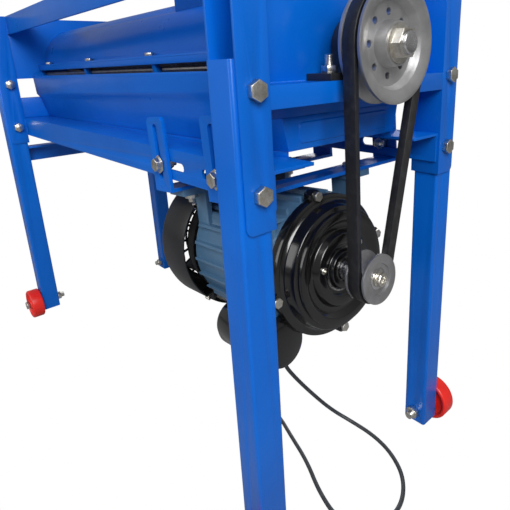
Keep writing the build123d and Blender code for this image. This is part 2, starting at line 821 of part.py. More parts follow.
# Belt pulleys: corners of the V groove, each given as width and radius
def groove_corners(radius):
    half = pulley_width / 2
    return [
        (-half, radius),
        (-groove_top / 2, radius),
        (-groove_bottom / 2, radius - groove_depth),
        (groove_bottom / 2, radius - groove_depth),
        (groove_top / 2, radius),
        (half, radius),
    ]


with BuildPart() as drum_pulley:
    pulley_half = pulley_width / 2
    web_back = pulley_half - pulley_dish - web_thickness
    with BuildSketch(Plane(origin=(groove_x, 0, shaft_z), x_dir=(1, 0, 0), z_dir=(0, -1, 0))):
        with BuildLine():
            Polyline(
                *groove_corners(drum_pulley_radius),
                (pulley_half, drum_pulley_radius - 4),
                (pulley_half - 4, web_radius + 4),
                (pulley_half - pulley_dish, web_radius),
                (pulley_half - pulley_dish, pulley_hub_radius + 2),
                (pulley_half, pulley_hub_radius),
                (pulley_half, shaft_radius),
                (-pulley_half, shaft_radius),
                (-pulley_half, pulley_hub_radius),
                (web_back, pulley_hub_radius + 1),
                (web_back, web_radius),
                (-pulley_half, web_radius + 2),
                close=True,
            )
        make_face()
    revolve(axis=Axis((groove_x, 0, shaft_z), (1, 0, 0)))
    pulley_face = Plane(origin=(groove_x + pulley_half, 0, shaft_z), x_dir=(0, 1, 0), z_dir=(1, 0, 0))
    with BuildSketch(pulley_face):
        with PolarLocations(web_hole_circle, web_holes):
            Circle(web_hole_radius)
    extrude(amount=-pulley_width, mode=Mode.SUBTRACT)
keep(drum_pulley.part, "drum_pulley")

with BuildPart() as drum_pulley_nut:
    with BuildSketch(pulley_face):
        Circle(pulley_hub_radius - 3)
        Circle(shaft_radius, mode=Mode.SUBTRACT)
    extrude(amount=3)
    with BuildSketch(pulley_face.offset(3)):
        RegularPolygon(shaft_nut_flats / 2, 6, major_radius=False)
        Circle(shaft_radius, mode=Mode.SUBTRACT)
    extrude(amount=shaft_nut_height - 6)
keep(drum_pulley_nut.part, "drum_pulley_nut")

with BuildPart() as motor_pulley:
    with BuildSketch(motor_side):
        with BuildLine():
            Polyline((-pulley_half, 0), *groove_corners(motor_pulley_radius), (pulley_half, 0), close=True)
        make_face()
    revolve(axis=Axis(motor_plane.origin, motor_axis))
    with BuildSketch(motor_plane.offset(pulley_width / 2)):
        Circle(motor_pulley_recess)
    extrude(amount=-3, mode=Mode.SUBTRACT)
    with BuildSketch(motor_plane.offset(-pulley_width)):
        Circle(motor_shaft_radius)
    extrude(amount=2 * pulley_width, mode=Mode.SUBTRACT)
keep(motor_pulley.part, "motor_pulley")

with BuildPart() as motor_pulley_bolt:
    pulley_seat = motor_plane.offset(motor_shaft_end)
    with BuildSketch(pulley_seat):
        Circle(motor_pulley_recess - 2)
    extrude(amount=2)
    pulley_bolt = make_bolt(pulley_bolt_radius, pulley_bolt_length, 17, 6)
    add(pulley_bolt.moved(pulley_seat.offset(2).location))
keep(motor_pulley_bolt.part, "motor_pulley_bolt")

# Drive belt: the outline round both pulleys, with its inner corners cut back to a wedge
belt_inner = belt_seat - belt_thickness
with BuildPart() as belt:
    for amount, mode in ((belt_seat, Mode.ADD), (belt_inner, Mode.SUBTRACT)):
        with BuildSketch(Plane.YZ.offset(groove_x)):
            with Locations((0, shaft_z)):
                Circle(drum_pulley_radius + amount)
            with Locations((motor_y, motor_z)):
                Circle(motor_pulley_radius + amount)
            make_hull()
        extrude(amount=belt_width / 2, both=True, mode=mode)
    for flank in belt.faces().sort_by(Axis.X)[:1] + belt.faces().sort_by(Axis.X)[-1:]:
        chamfer(flank.inner_wires()[0].edges(), belt_thickness - 1.5, belt_bevel, reference=flank)
keep(belt.part, "drive_belt")

# Motor housing with cooling fins, two pairs of feet and seats for the capacitor covers
feet_plane = motor_height - foot_thickness
cap_places = ((cap_near, cap_near_front), (cap_far, cap_far_front))
with BuildPart() as housing:
    with BuildSketch(motor_plane.offset(housing_rear)):
        Circle(housing_radius)
    extrude(amount=housing_front - housing_rear)
    for place in strap_places:
        with BuildSketch(motor_plane.offset(place - foot_width / 2)):
            for side in ends.values():
                with Locations((side * foot_spacing / 2, motor_height - foot_thickness / 2)):
                    Rectangle(foot_length, foot_thickness)
        extrude(amount=foot_width)
        with BuildSketch(motor_plane.offset(max(place - gusset_width / 2, housing_rear))):
            for side in ends.values():
                with Locations((side * gusset_x, gusset_middle)):
                    Rectangle(gusset_thickness, 2 * (motor_height - foot_thickness / 2 - gusset_middle))
        extrude(amount=min(gusset_width, place + gusset_width / 2 - housing_rear))
        for side in ends.values():
            foot_point = motor_plane.from_local_coords((side * foot_spacing / 2, motor_height, place))
            with Locations(Plane(origin=foot_point, z_dir=motor_up).location):
                Hole(foot_bolt_radius, depth=2 * foot_thickness)
    for place, front in cap_places:
        with BuildSketch(motor_plane.offset(front - cap_length)):
            with Locations(place):
                Circle(cap_radius - 3)
            Circle(housing_radius + fin_height, mode=Mode.INTERSECT)
        extrude(amount=min(cap_length, housing_front - front + cap_length))
    with BuildSketch(motor_plane.offset(box_front - box_length)):
        with Locations((box_x, -housing_radius)):
            Rectangle(box_width, 4 * fin_height)
        Circle(housing_radius + fin_height, mode=Mode.INTERSECT)
    extrude(amount=box_length)
    with BuildSketch(motor_plane.offset(housing_rear)):
        Circle(housing_radius - housing_wall)
    extrude(amount=housing_front - housing_rear, mode=Mode.SUBTRACT)
    for i in range(-fins_a_side, fins_a_side + 1):
        for turn in (0, 90):
            with BuildSketch(motor_plane.offset(housing_rear + 8)):
                with Locations(Location((0, 0, 0), (0, 0, turn))):
                    with Locations((0, i * fin_step)):
                        Rectangle(2 * (housing_radius + fin_height), fin_thickness)
                Circle(housing_radius + fin_height, mode=Mode.INTERSECT)
                Circle(housing_radius - 2, mode=Mode.SUBTRACT)
            extrude(amount=housing_front - housing_rear - 16)
    # The last fins leave a loose sheet beside the body
    body = housing.part.solids().sort_by(SortBy.VOLUME)[-1]
keep(body, "motor_housing")

# Motor screws: four hold the front end shield, four the fan cover
lug_angles = (10, 100, 190, 280)
cover_screw = make_bolt(2.5, 10, 9, 3)
cover_screws = []
for angle in (45, 135, 225, 315):
    outward = Vector(0, 1, 0) * math.cos(math.radians(angle)) + motor_up * math.sin(math.radians(angle))
    seat_point = motor_plane.offset(housing_rear - cover_lug / 2).origin + outward * cover_radius
    cover_screws.append(cover_screw.moved(Plane(origin=seat_point, z_dir=outward).location))
with BuildPart() as motor_screws:
    add(cover_screws)
    for angle in lug_angles:
        with BuildSketch(motor_plane.offset(shield_lip)):
            with PolarLocations(endshield_lug_circle + 1, 1, angle):
                RegularPolygon(6, 6, major_radius=False)
        extrude(amount=5)
keep(motor_screws.part, "motor_screws")

# End shields: the front one stepped as in the view, the rear one inside the fan cover
front_steps = (
    (housing_front, endshield_radius),
    (shield_lip, endshield_radius),
    (shield_lip, ring_1_radius + 4),
    (shield_lip + 3, ring_1_radius),
    (shield_face - 6, ring_1_radius - 3),
    (shield_face - 6, ring_2_radius),
    (shield_face, ring_2_radius),
    (shield_face, ring_3_radius + 14),
    (shield_face - 7, ring_3_radius + 8),
    (shield_face - 7, ring_3_radius),
    (shield_face + 2, ring_3_radius - 4),
    (shield_face + 2, ring_4_radius + 9),
    (shield_face - 3, ring_4_radius + 6),
    (shield_face - 3, ring_4_radius),
    (shield_face + 4, ring_4_radius - 2),
    (shield_face + 4, motor_shaft_radius + 1),
)
shield_bore = (
    (shield_face - 3, motor_shaft_radius + 1),
    (shield_face - 3, motor_bearing_radius),
    (shield_face - 3 - motor_bearing_width, motor_bearing_radius),
    (shield_face - 3 - motor_bearing_width, ring_3_radius),
    (shield_face - 14, ring_3_radius),
    (shield_face - 14, ring_2_radius - 12),
    (shield_lip, ring_2_radius - 4),
    (housing_front, ring_2_radius - 4),
)
with BuildPart() as endshield_front:
    with BuildSketch(motor_side):
        with BuildLine():
            Polyline(*front_steps, *shield_bore, close=True)
        make_face()
    revolve(axis=Axis(motor_plane.origin, motor_axis))
    with BuildSketch(motor_plane.offset(housing_front)):
        for angle in lug_angles:
            with PolarLocations(endshield_lug_circle, 1, angle):
                Circle(endshield_lug_radius)
        Circle(endshield_radius - 4, mode=Mode.SUBTRACT)
    extrude(amount=shield_lip - housing_front)
keep(endshield_front.part, "endshield_front")

rear_steps = (
    (housing_rear, housing_radius),
    (housing_rear - 8, housing_radius),
    (housing_rear - 12, housing_radius - 20),
    (housing_rear - 22, ring_3_radius),
    (housing_rear - 22, motor_bearing_radius + 6),
    (housing_rear - 26, motor_bearing_radius + 4),
    (housing_rear - 26, motor_shaft_radius + 1),
    (housing_rear - 22, motor_shaft_radius + 1),
    (housing_rear - 22, motor_bearing_radius),
    (housing_rear - 22 + motor_bearing_width, motor_bearing_radius),
    (housing_rear - 22 + motor_bearing_width, ring_3_radius - 6),
    (housing_rear, housing_radius - housing_wall),
)
with BuildPart() as endshield_rear:
    with BuildSketch(motor_side):
        with BuildLine():
            Polyline(*rear_steps, close=True)
        make_face()
    revolve(axis=Axis(motor_plane.origin, motor_axis))
    with BuildSketch(motor_plane.offset(housing_rear)):
        with PolarLocations((housing_radius + cover_radius - cover_wall) / 2 - 2, 4, 45):
            Rectangle(cover_radius - cover_wall - housing_radius + 3.4, 12)
    extrude(amount=-cover_lug)
    add(cover_screws, mode=Mode.SUBTRACT)
keep(endshield_rear.part, "endshield_rear")

with BuildPart() as motor_bearings:
    for ring_start in (shield_face - 3 - motor_bearing_width, housing_rear - 22):
        with BuildSketch(motor_plane.offset(ring_start)):
            Circle(motor_bearing_radius)
            Circle(motor_shaft_radius + bearing_fit, mode=Mode.SUBTRACT)
        extrude(amount=motor_bearing_width)
keep(motor_bearings.part, "motor_bearings")

# Stator with its winding ends, rotor, shaft and fan
stator_middle = (housing_rear + housing_front) / 2
with BuildPart() as stator_core:
    with BuildSketch(motor_plane.offset(stator_middle - stator_length / 2)):
        Circle(housing_radius - housing_wall)
        Circle(stator_bore, mode=Mode.SUBTRACT)
    extrude(amount=stator_length)
keep(stator_core.part, "stator_core")

with BuildPart() as stator_windings:
    for side in ends.values():
        with BuildSketch(motor_plane.offset(stator_middle + side * stator_length / 2)):
            Circle(winding_radius)
            Circle(stator_bore + 4, mode=Mode.SUBTRACT)
        extrude(amount=side * winding_length)
keep(stator_windings.part, "stator_windings")

with BuildPart() as motor_shaft:
    with BuildSketch(motor_plane.offset(motor_shaft_end)):
        Circle(motor_shaft_radius)
    extrude(amount=fan_rear - 6 - motor_shaft_end)
    with Locations(motor_plane.offset(motor_shaft_end).location):
        Hole(pulley_bolt_radius, depth=pulley_bolt_length)
keep(motor_shaft.part, "motor_shaft")

with BuildPart() as rotor_core:
    with BuildSketch(motor_plane.offset(stator_middle - stator_length / 2 - 10)):
        Circle(stator_bore - rotor_gap)
        Circle(motor_shaft_radius, mode=Mode.SUBTRACT)
    extrude(amount=stator_length + 20)
keep(rotor_core.part, "rotor_core")

with BuildPart() as cooling_fan:
    with BuildSketch(motor_plane.offset(fan_rear)):
        Circle(motor_shaft_radius + 9)
    extrude(amount=fan_depth)
    with BuildSketch(motor_plane.offset(fan_rear + fan_depth)):
        Circle(fan_radius)
    extrude(amount=-3)
    with BuildSketch(motor_plane.offset(fan_rear)):
        with PolarLocations((fan_radius + motor_shaft_radius) / 2 + 3, fan_blades):
            Rectangle(fan_radius - motor_shaft_radius - 6, 3)
    extrude(amount=fan_depth)
    with BuildSketch(motor_plane.offset(fan_rear)):
        Circle(motor_shaft_radius)
    extrude(amount=fan_depth, mode=Mode.SUBTRACT)
keep(cooling_fan.part, "cooling_fan")

# Fan cover: deep cap with a rounded rear edge and a ring grille
with BuildPart() as fan_cover:
    with BuildSketch(motor_plane.offset(cover_front)):
        Circle(cover_radius)
    extrude(amount=cover_rear - cover_front)
    rear_rim = fan_cover.edges().sort_by(Axis(motor_plane.origin, motor_axis))[0]
    fillet(rear_rim, cover_corner)
    front_face = fan_cover.faces().sort_by(Axis(motor_plane.origin, motor_axis))[-1]
    offset(amount=-cover_wall, openings=front_face)
    ring_step = (cover_radius - cover_corner - grille_hub) / grille_rings
    with BuildSketch(motor_plane.offset(cover_rear)):
        for ring in range(grille_rings):
            Circle(grille_hub + (ring + 1) * ring_step - grille_bar)
            Circle(grille_hub + ring * ring_step, mode=Mode.SUBTRACT)
        with PolarLocations(0, grille_ribs // 2, 0, 180):
            Rectangle(2 * cover_radius, grille_bar, mode=Mode.SUBTRACT)
    extrude(amount=cover_wall, mode=Mode.SUBTRACT)
    add(cover_screws, mode=Mode.SUBTRACT)
keep(fan_cover.part, "fan_cover")

# Capacitors under their covers, and the terminal box between them
with BuildPart() as capacitor_covers:
    for place, front in cap_places:
        with BuildSketch(motor_plane.offset(front - cap_length)):
            with Locations(place):
                Circle(cap_radius)
            Circle(housing_radius + fin_height, mode=Mode.SUBTRACT)
        extrude(amount=cap_length)
    cover_ends = capacitor_covers.edges().filter_by(GeomType.CIRCLE)
    round_ends = [edge for edge in cover_ends if abs(edge.radius - cap_radius) < 0.1]
    fillet(round_ends, 6)
    for place, front in cap_places:
        with BuildSketch(motor_plane.offset(front - cap_length + cover_wall)):
            with Locations(place):
                Circle(cap_radius - cover_wall)
            Circle(housing_radius + fin_height + cover_wall, mode=Mode.SUBTRACT)
        extrude(amount=cap_length - 2 * cover_wall, mode=Mode.SUBTRACT)
keep(capacitor_covers.part, "capacitor_covers")

with BuildPart() as capacitors:
    core_reach = housing_radius + fin_height + cover_wall + cap_core
    for place, front in cap_places:
        reach = core_reach / math.hypot(*place)
        with BuildSketch(motor_plane.offset(front - cap_length + 12)):
            with Locations((place[0] * reach, place[1] * reach)):
                Circle(cap_core)
        extrude(amount=cap_length - 24)
keep(capacitors.part, "capacitors")

with BuildPart() as terminal_box:
    box_bottom = -(housing_radius + fin_height + box_depth)
    with BuildSketch(motor_plane.offset(box_front - box_length)):
        with Locations((box_x, (box_bottom - housing_radius) / 2)):
            Rectangle(box_width, -box_bottom - housing_radius)
        Circle(housing_radius + fin_height, mode=Mode.SUBTRACT)
    extrude(amount=box_length)
    with BuildSketch(motor_plane.offset(box_front - box_length + 3)):
        with Locations((box_x, (box_bottom - housing_radius) / 2)):
            Rectangle(box_width - 6, -box_bottom - housing_radius - 6)
        Circle(housing_radius + fin_height + 3, mode=Mode.SUBTRACT)
    extrude(amount=box_length - 6, mode=Mode.SUBTRACT)
keep(terminal_box.part, "terminal_box")

gland_seat = motor_plane.from_local_coords((box_x, box_bottom, box_front - box_length / 2))
with BuildPart() as cable_gland:
    with BuildSketch(Plane(origin=gland_seat, z_dir=-motor_up)):
        RegularPolygon(gland_radius + 2, 6, major_radius=False)
    extrude(amount=gland_hex)
    with BuildSketch(Plane(origin=gland_seat - motor_up * gland_hex, z_dir=-motor_up)):
        Circle(gland_radius)
    with BuildSketch(Plane(origin=gland_seat - motor_up * gland_length, z_dir=-motor_up)):
        Circle(cord_radius + 1)
    loft()
keep(cable_gland.part, "cable_gland")

# Motor straps: flat bars bent up outside the rails, slotted for height adjustment
ear_out = post_web + strap_gap + strap_wall
for name, place in zip(("front", "rear"), strap_places):
    with BuildPart() as strap:
        with BuildSketch(motor_plane.offset(place - strap_width / 2)):
            with BuildLine():
                left = -ear_out - motor_y
                right = ear_out - motor_y
                bar_top = motor_height + strap_wall
                Polyline(
                    (left, motor_height),
                    (right, motor_height),
                    (right, motor_height + ear_height),
                    (right - strap_wall, motor_height + ear_height),
                    (right - strap_wall, bar_top),
                    (left + strap_wall, bar_top),
                    (left + strap_wall, motor_height + ear_height),
                    (left, motor_height + ear_height),
                    close=True,
                )
            make_face()
        extrude(amount=strap_width)
        with BuildSketch(motor_side.offset(motor_y - ear_out - 20)):
            with Locations((place, ear_slot_middle)):
                SlotOverall(ear_slot_length, ear_slot_width, rotation=90)
        extrude(amount=2 * ear_out + 40, mode=Mode.SUBTRACT)
        top_edges = strap.edges().filter_by(Axis.Y).filter_by_position(Axis.Z, rail_top, post_top)
        chamfer([edge for edge in top_edges if edge.length < strap_wall + 1], ear_corner)
        for side in ends.values():
            foot_point = motor_plane.from_local_coords((side * foot_spacing / 2, bar_top, place))
            with Locations(Plane(origin=foot_point, z_dir=motor_up).location):
                Hole(foot_bolt_radius, depth=strap_wall)
    keep(strap.part, f"strap_{name}")

with BuildPart() as strap_bolts:
    strap_bolt_length = strap_gap + strap_wall + strap_gap + rail_wall + 16
    strap_bolt = make_bolt(strap_bolt_radius, strap_bolt_length, strap_bolt_flats, strap_bolt_head)
    strap_washer = make_nut(strap_bolt_radius, 23, 1.5)
    strap_nut = make_nut(strap_bolt_radius, strap_bolt_flats, 8)
    for x in strap_bolt_x:
        for side in ends.values():
            head_y = side * (ear_out + strap_gap)
            add(strap_washer.moved(seat(x, head_y, slot_z, (0, side, 0))))
            add(strap_bolt.moved(seat(x, head_y + side * 1.5, slot_z, (0, side, 0))))
            add(strap_nut.moved(seat(x, side * (post_web - rail_wall), slot_z, (0, -side, 0))))
keep(strap_bolts.part, "strap_bolts")

with BuildPart() as foot_bolts:
    foot_bolt = make_bolt(foot_bolt_radius, strap_wall + foot_thickness + 14, 17, 6.5)
    foot_nut = make_nut(foot_bolt_radius, 17, 8)
    for place in strap_places:
        for side in ends.values():
            head_point = motor_plane.from_local_coords((side * foot_spacing / 2, bar_top, place))
            nut_point = motor_plane.from_local_coords((side * foot_spacing / 2, feet_plane, place))
            add(foot_bolt.moved(Plane(origin=head_point, z_dir=motor_up).location))
            add(foot_nut.moved(Plane(origin=nut_point, z_dir=-motor_up).location))
keep(foot_bolts.part, "foot_bolts")

# Mains cord: down from the gland, out across the floor and back to its plug behind the near leg
cord_end = gland_seat - motor_up * gland_length
cord_turn = cord_end - motor_up * 30
cord_route = [
    (-167, -20, 147),
    (-168, 18, 92),
    (-160, 66, 27),
    (-128, 90, cord_floor),
    (-80, 92, cord_floor),
    (-34, 82, cord_floor),
    (10, 55, cord_floor),
    (36, 8, cord_floor),
    (29, -46, cord_floor),
    (-14, -72, cord_floor),
    (-68, -58, cord_floor),
    (-123, -31, cord_floor),
    (-185, -12, cord_floor),
    (-230, 3, cord_floor),
    (-270, 10, cord_floor),
]
with BuildPart() as cord:
    path_points = [cord_end, cord_turn] + [Vector(groove_x + x, y, z) for x, y, z in cord_route]
    runs = [(b - a).length for a, b in zip(path_points, path_points[1:])]
    with BuildLine() as cord_line:
        here = path_points[0]
        for i in range(1, len(path_points) - 1):
            before = (path_points[i] - path_points[i - 1]).normalized()
            after = (path_points[i + 1] - path_points[i]).normalized()
            half_turn = math.radians(before.get_angle(after)) / 2
            trim = 0.45 * min(runs[i - 1], runs[i])
            start = path_points[i] - before * trim
            end = path_points[i] + after * trim
            Line(here, start)
            TangentArc(start, end, tangent=before)
            print("cord bend radius", round(trim / math.tan(half_turn), 1))
            here = end
        Line(here, path_points[-1])
    start_plane = Plane(origin=path_points[0], z_dir=path_points[1] - path_points[0])
    with BuildSketch(start_plane):
        Circle(cord_radius)
    sweep(path=cord_line.wire())
print("cord volume over section by length", cord.part.volume / (math.pi * cord_radius**2 * cord_line.wire().length))
keep(cord.part, "mains_cord")

with BuildPart() as plug:
    plug_direction = path_points[-1] - path_points[-2]
    plug_face = Plane(origin=path_points[-1], x_dir=(0, 0, 1), z_dir=plug_direction)
    with BuildSketch(plug_face):
        with Locations((plug_half - cord_floor, 0)):
            RectangleRounded(2 * plug_half - 6, 14, 4)
    with BuildSketch(plug_face.offset(16)):
        with Locations((plug_half - cord_floor, 0)):
            RectangleRounded(2 * plug_half - 1, 2 * plug_half + 6, 6)
    with BuildSketch(plug_face.offset(44)):
        with Locations((plug_half - cord_floor, 0)):
            RectangleRounded(2 * plug_half - 1, 2 * plug_half + 8, 6)
    loft(ruled=True)
    with BuildSketch(plug_face.offset(44)):
        with Locations((plug_half - cord_floor, -9.5), (plug_half - cord_floor, 9.5)):
            Circle(2.4)
    extrude(amount=19)
keep(plug.part, "mains_plug")
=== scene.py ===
import json
import math

import bmesh
import bpy
from mathutils import Matrix, Vector


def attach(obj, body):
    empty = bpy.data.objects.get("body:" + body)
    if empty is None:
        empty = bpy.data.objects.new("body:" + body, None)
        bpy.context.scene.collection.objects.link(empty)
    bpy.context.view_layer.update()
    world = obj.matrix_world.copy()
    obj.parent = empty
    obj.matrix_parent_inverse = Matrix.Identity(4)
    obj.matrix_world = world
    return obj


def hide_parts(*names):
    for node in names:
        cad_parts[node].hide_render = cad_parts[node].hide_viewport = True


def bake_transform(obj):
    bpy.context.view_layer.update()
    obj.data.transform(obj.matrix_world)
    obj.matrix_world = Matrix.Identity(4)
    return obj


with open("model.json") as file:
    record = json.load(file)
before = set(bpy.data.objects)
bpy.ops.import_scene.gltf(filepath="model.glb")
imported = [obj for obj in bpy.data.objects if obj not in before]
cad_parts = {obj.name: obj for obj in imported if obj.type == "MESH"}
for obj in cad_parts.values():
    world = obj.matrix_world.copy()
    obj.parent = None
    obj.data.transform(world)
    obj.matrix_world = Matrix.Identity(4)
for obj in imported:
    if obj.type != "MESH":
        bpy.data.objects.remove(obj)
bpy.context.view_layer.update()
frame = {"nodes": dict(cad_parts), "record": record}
nodes = frame["nodes"]
record = frame["record"]
bodyOf = {node: body for body, group in record["behaviour"]["bodies"].items() for node in group}
slotOf = {part["node"]: part["material_slot"] for part in record["subparts"]}
mm = 0.001
joinDistance = 0.000001
print("frame loaded:", len(nodes), "nodes")


def link(name, data):
    piece = bpy.data.objects.new(name, data)
    bpy.context.collection.objects.link(piece)
    return piece


# camera, solved from the straight members of the frame
photoWidth = 510
sensorWidth = 36
camera = {
    "place": (0.8498, -0.4487, 0.6386),
    "heading": 48.19,
    "pitch": 16.515,
    "roll": -2.23,
    "focal": 462.65 / photoWidth * sensorWidth,
    "shift": (-0.0707, -0.1053),
    "farthest": 50,
}


def placeCamera(spec):
    heading, pitch, roll = (math.radians(spec[key]) for key in ("heading", "pitch", "roll"))
    level = math.cos(pitch)
    ahead = Vector((-math.sin(heading) * level, math.cos(heading) * level, -math.sin(pitch)))
    right = Vector((math.cos(heading), math.sin(heading), 0))
    up = right.cross(ahead)
    tiltedRight = right * math.cos(roll) + up * math.sin(roll)
    tiltedUp = up * math.cos(roll) - right * math.sin(roll)
    data = bpy.data.cameras.new("photoCamera")
    data.sensor_width = sensorWidth
    data.lens = spec["focal"]
    data.shift_x, data.shift_y = spec["shift"]
    data.clip_end = spec["farthest"]
    eye = link("photoCamera", data)
    turn = Matrix((tiltedRight, tiltedUp, -ahead)).transposed().to_4x4()
    eye.matrix_world = Matrix.Translation(spec["place"]) @ turn
    bpy.context.scene.camera = eye


placeCamera(camera)
print("camera placed")


# the two turning axes, each with x across the machine, y up and z along the shaft
beltPlane = 0.520
drumHeight = 0.656
motorY, motorZ = -0.025, 0.3795
tilt = math.radians(4)
drumFrame = Matrix(((0, 0, 1, beltPlane), (1, 0, 0, 0), (0, 1, 0, drumHeight), (0, 0, 0, 1)))
motorFrame = Matrix(
    (
        (0, -math.sin(tilt), math.cos(tilt), beltPlane),
        (1, 0, 0, motorY),
        (0, math.cos(tilt), math.sin(tilt), motorZ),
        (0, 0, 0, 1),
    )
)


# turns a finished bmesh into a piece
def fromShape(name, shape):
    mesh = bpy.data.meshes.new(name)
    shape.to_mesh(mesh)
    shape.free()
    return link(name, mesh)


# rounds the edges that are sharper than the angle, in degrees
def bevelEdges(piece, width, angle=30, segments=2):
    edges = piece.modifiers.new("edges", "BEVEL")
    edges.width = width
    edges.segments = segments
    edges.limit_method = "ANGLE"
    edges.angle_limit = math.radians(angle)


# replaces the piece's mesh by the evaluated one and drops its modifiers
def bake(piece):
    graph = bpy.context.evaluated_depsgraph_get()
    mesh = bpy.data.meshes.new_from_object(piece.evaluated_get(graph))
    piece.modifiers.clear()
    piece.data = mesh
    return piece


def smooth(mesh):
    for face in mesh.polygons:
        face.use_smooth = True


# smooths a finished piece, dresses it and sets it on its body
def settle(piece, body, slot, material=None, angle=38):
    smooth(piece.data)
    piece.data.set_sharp_from_angle(angle=math.radians(angle))
    piece.data.materials.clear()
    piece.data.materials.append(material or looks[slot])
    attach(piece, body)
    return piece


# shader maths: a socket that takes + - * /
class Sock:
    def __init__(self, kit, out):
        self.kit, self.out = kit, out

    def math(self, operation, other=None):
        return self.kit.node("ShaderNodeMath", {0: self, 1: other}, operation=operation)[0]

    def __add__(self, other):
        return self.math("ADD", other)

    def __sub__(self, other):
        return self.math("SUBTRACT", other)

    def __mul__(self, other):
        return self.math("MULTIPLY", other)

    def __truediv__(self, other):
        return self.math("DIVIDE", other)

    def ramp(self, low, high):
        values = {0: self, 1: low, 2: high, 3: 0.0, 4: 1.0}
        return self.kit.node("ShaderNodeMapRange", values, interpolation_type="SMOOTHSTEP")[0]


# makes the nodes of one tree; each value is a number, a socket or a list of sockets
class Kit:
    def __init__(self, tree):
        self.tree = tree

    def node(self, kind, values=None, **settings):
        made = self.tree.nodes.new(kind)
        for key, value in settings.items():
            setattr(made, key, value)
        for key, value in (values or {}).items():
            if isinstance(value, (Sock, list)):
                for source in value if isinstance(value, list) else [value]:
                    self.tree.links.new(source.out, made.inputs[key])
            elif value is not None:
                made.inputs[key].default_value = value
        return [Sock(self, out) for out in made.outputs if out.enabled]


def newMaterial(name):
    material = bpy.data.materials.new(name)
    material.use_nodes = True
    material.node_tree.nodes.clear()
    return material, Kit(material.node_tree)


# where a point lies on its own piece: the fourth output of the node
def objectPlace(kit):
    return kit.node("ShaderNodeTexCoord")[3]


def noise(kit, place, scale, detail=3.0, rough=0.5):
    values = {"Vector": place, "Scale": scale, "Detail": detail, "Roughness": rough}
    return kit.node("ShaderNodeTexNoise", values)[0]


# the colour inputs of the mix node lie at places 6 and 7
def mix(kit, factor, low, high):
    colours = [colour if isinstance(colour, Sock) else (*colour, 1) for colour in (low, high)]
    values = {0: factor, 6: colours[0], 7: colours[1]}
    return kit.node("ShaderNodeMix", values, data_type="RGBA")[0]


def finishMaterial(material, kit, surface, bump, strength, distance):
    relief = {"Strength": strength, "Distance": distance, "Height": bump}
    surface["Normal"] = kit.node("ShaderNodeBump", relief)[0]
    shader = kit.node("ShaderNodeBsdfPrincipled", surface)[0]
    kit.node("ShaderNodeOutputMaterial", {"Surface": shader})
    return material


def paint(name, colour, deep, roughness, coat=0.5, peel=0.12, dustAmount=0.05, shine=0.5):
    material, kit = newMaterial(name)
    place = objectPlace(kit)
    cloud = noise(kit, place, 6.0, 4.0)
    fine = noise(kit, place, 55.0, 3.0)
    skin = noise(kit, place, 420.0, 2.0)
    base = mix(kit, cloud.ramp(0.3, 0.75), colour, deep)
    specks = noise(kit, place, 160.0, 6.0, 0.7).ramp(0.66, 0.78) * fine.ramp(0.45, 0.7)
    dust = (0.4, 0.42, 0.45)
    surface = {
        "Base Color": mix(kit, specks * dustAmount, base, dust),
        "Roughness": cloud * 0.1 + fine * 0.08 + (roughness - 0.09),
        "Specular IOR Level": shine,
        "Coat Weight": coat,
        "Coat Roughness": 0.12,
    }
    return finishMaterial(material, kit, surface, skin * 0.5 + fine, peel, 0.0006)


def metal(name, colour, tint, roughness, scale=90.0):
    material, kit = newMaterial(name)
    place = objectPlace(kit)
    cloud = noise(kit, place, scale, 4.0)
    fine = noise(kit, place, scale * 9, 3.0)
    surface = {
        "Base Color": mix(kit, cloud.ramp(0.35, 0.7), colour, tint),
        "Metallic": 1.0,
        "Roughness": fine * 0.2 + (roughness - 0.1),
    }
    return finishMaterial(material, kit, surface, fine + cloud, 0.15, 0.0004)


def plastic(name, colour, worn, roughness, grain=0.08, scale=60.0, coat=0.0):
    material, kit = newMaterial(name)
    place = objectPlace(kit)
    cloud = noise(kit, place, scale, 3.0)
    fine = noise(kit, place, scale * 12, 2.0)
    surface = {
        "Base Color": mix(kit, cloud.ramp(0.4, 0.75), colour, worn),
        "Roughness": cloud * 0.15 + (roughness - 0.07),
        "Coat Weight": coat,
        "Coat Roughness": 0.1,
    }
    return finishMaterial(material, kit, surface, fine, grain, 0.0003)


# machined metal with fine turning rings about a shaft
def turned(name, colour, tint, roughness, centre, axis, pitch):
    material, kit = newMaterial(name)
    place = objectPlace(kit)
    offset = kit.node("ShaderNodeVectorMath", {0: place, 1: centre}, operation="SUBTRACT")[0]
    across = kit.node("ShaderNodeVectorMath", {0: offset, 1: axis}, operation="CROSS_PRODUCT")[0]
    radius = kit.node("ShaderNodeVectorMath", {0: across}, operation="LENGTH")[0]
    rings = (radius / pitch).math("SINE") * 0.5 + 0.5
    cloud = noise(kit, place, 40.0, 4.0)
    fine = noise(kit, place, 600.0, 2.0)
    surface = {
        "Base Color": mix(kit, cloud.ramp(0.35, 0.7), colour, tint),
        "Metallic": 0.85,
        "Roughness": rings * 0.08 + fine * 0.12 + (roughness - 0.1),
    }
    return finishMaterial(material, kit, surface, rings + fine * 0.5, 0.12, 0.0002)


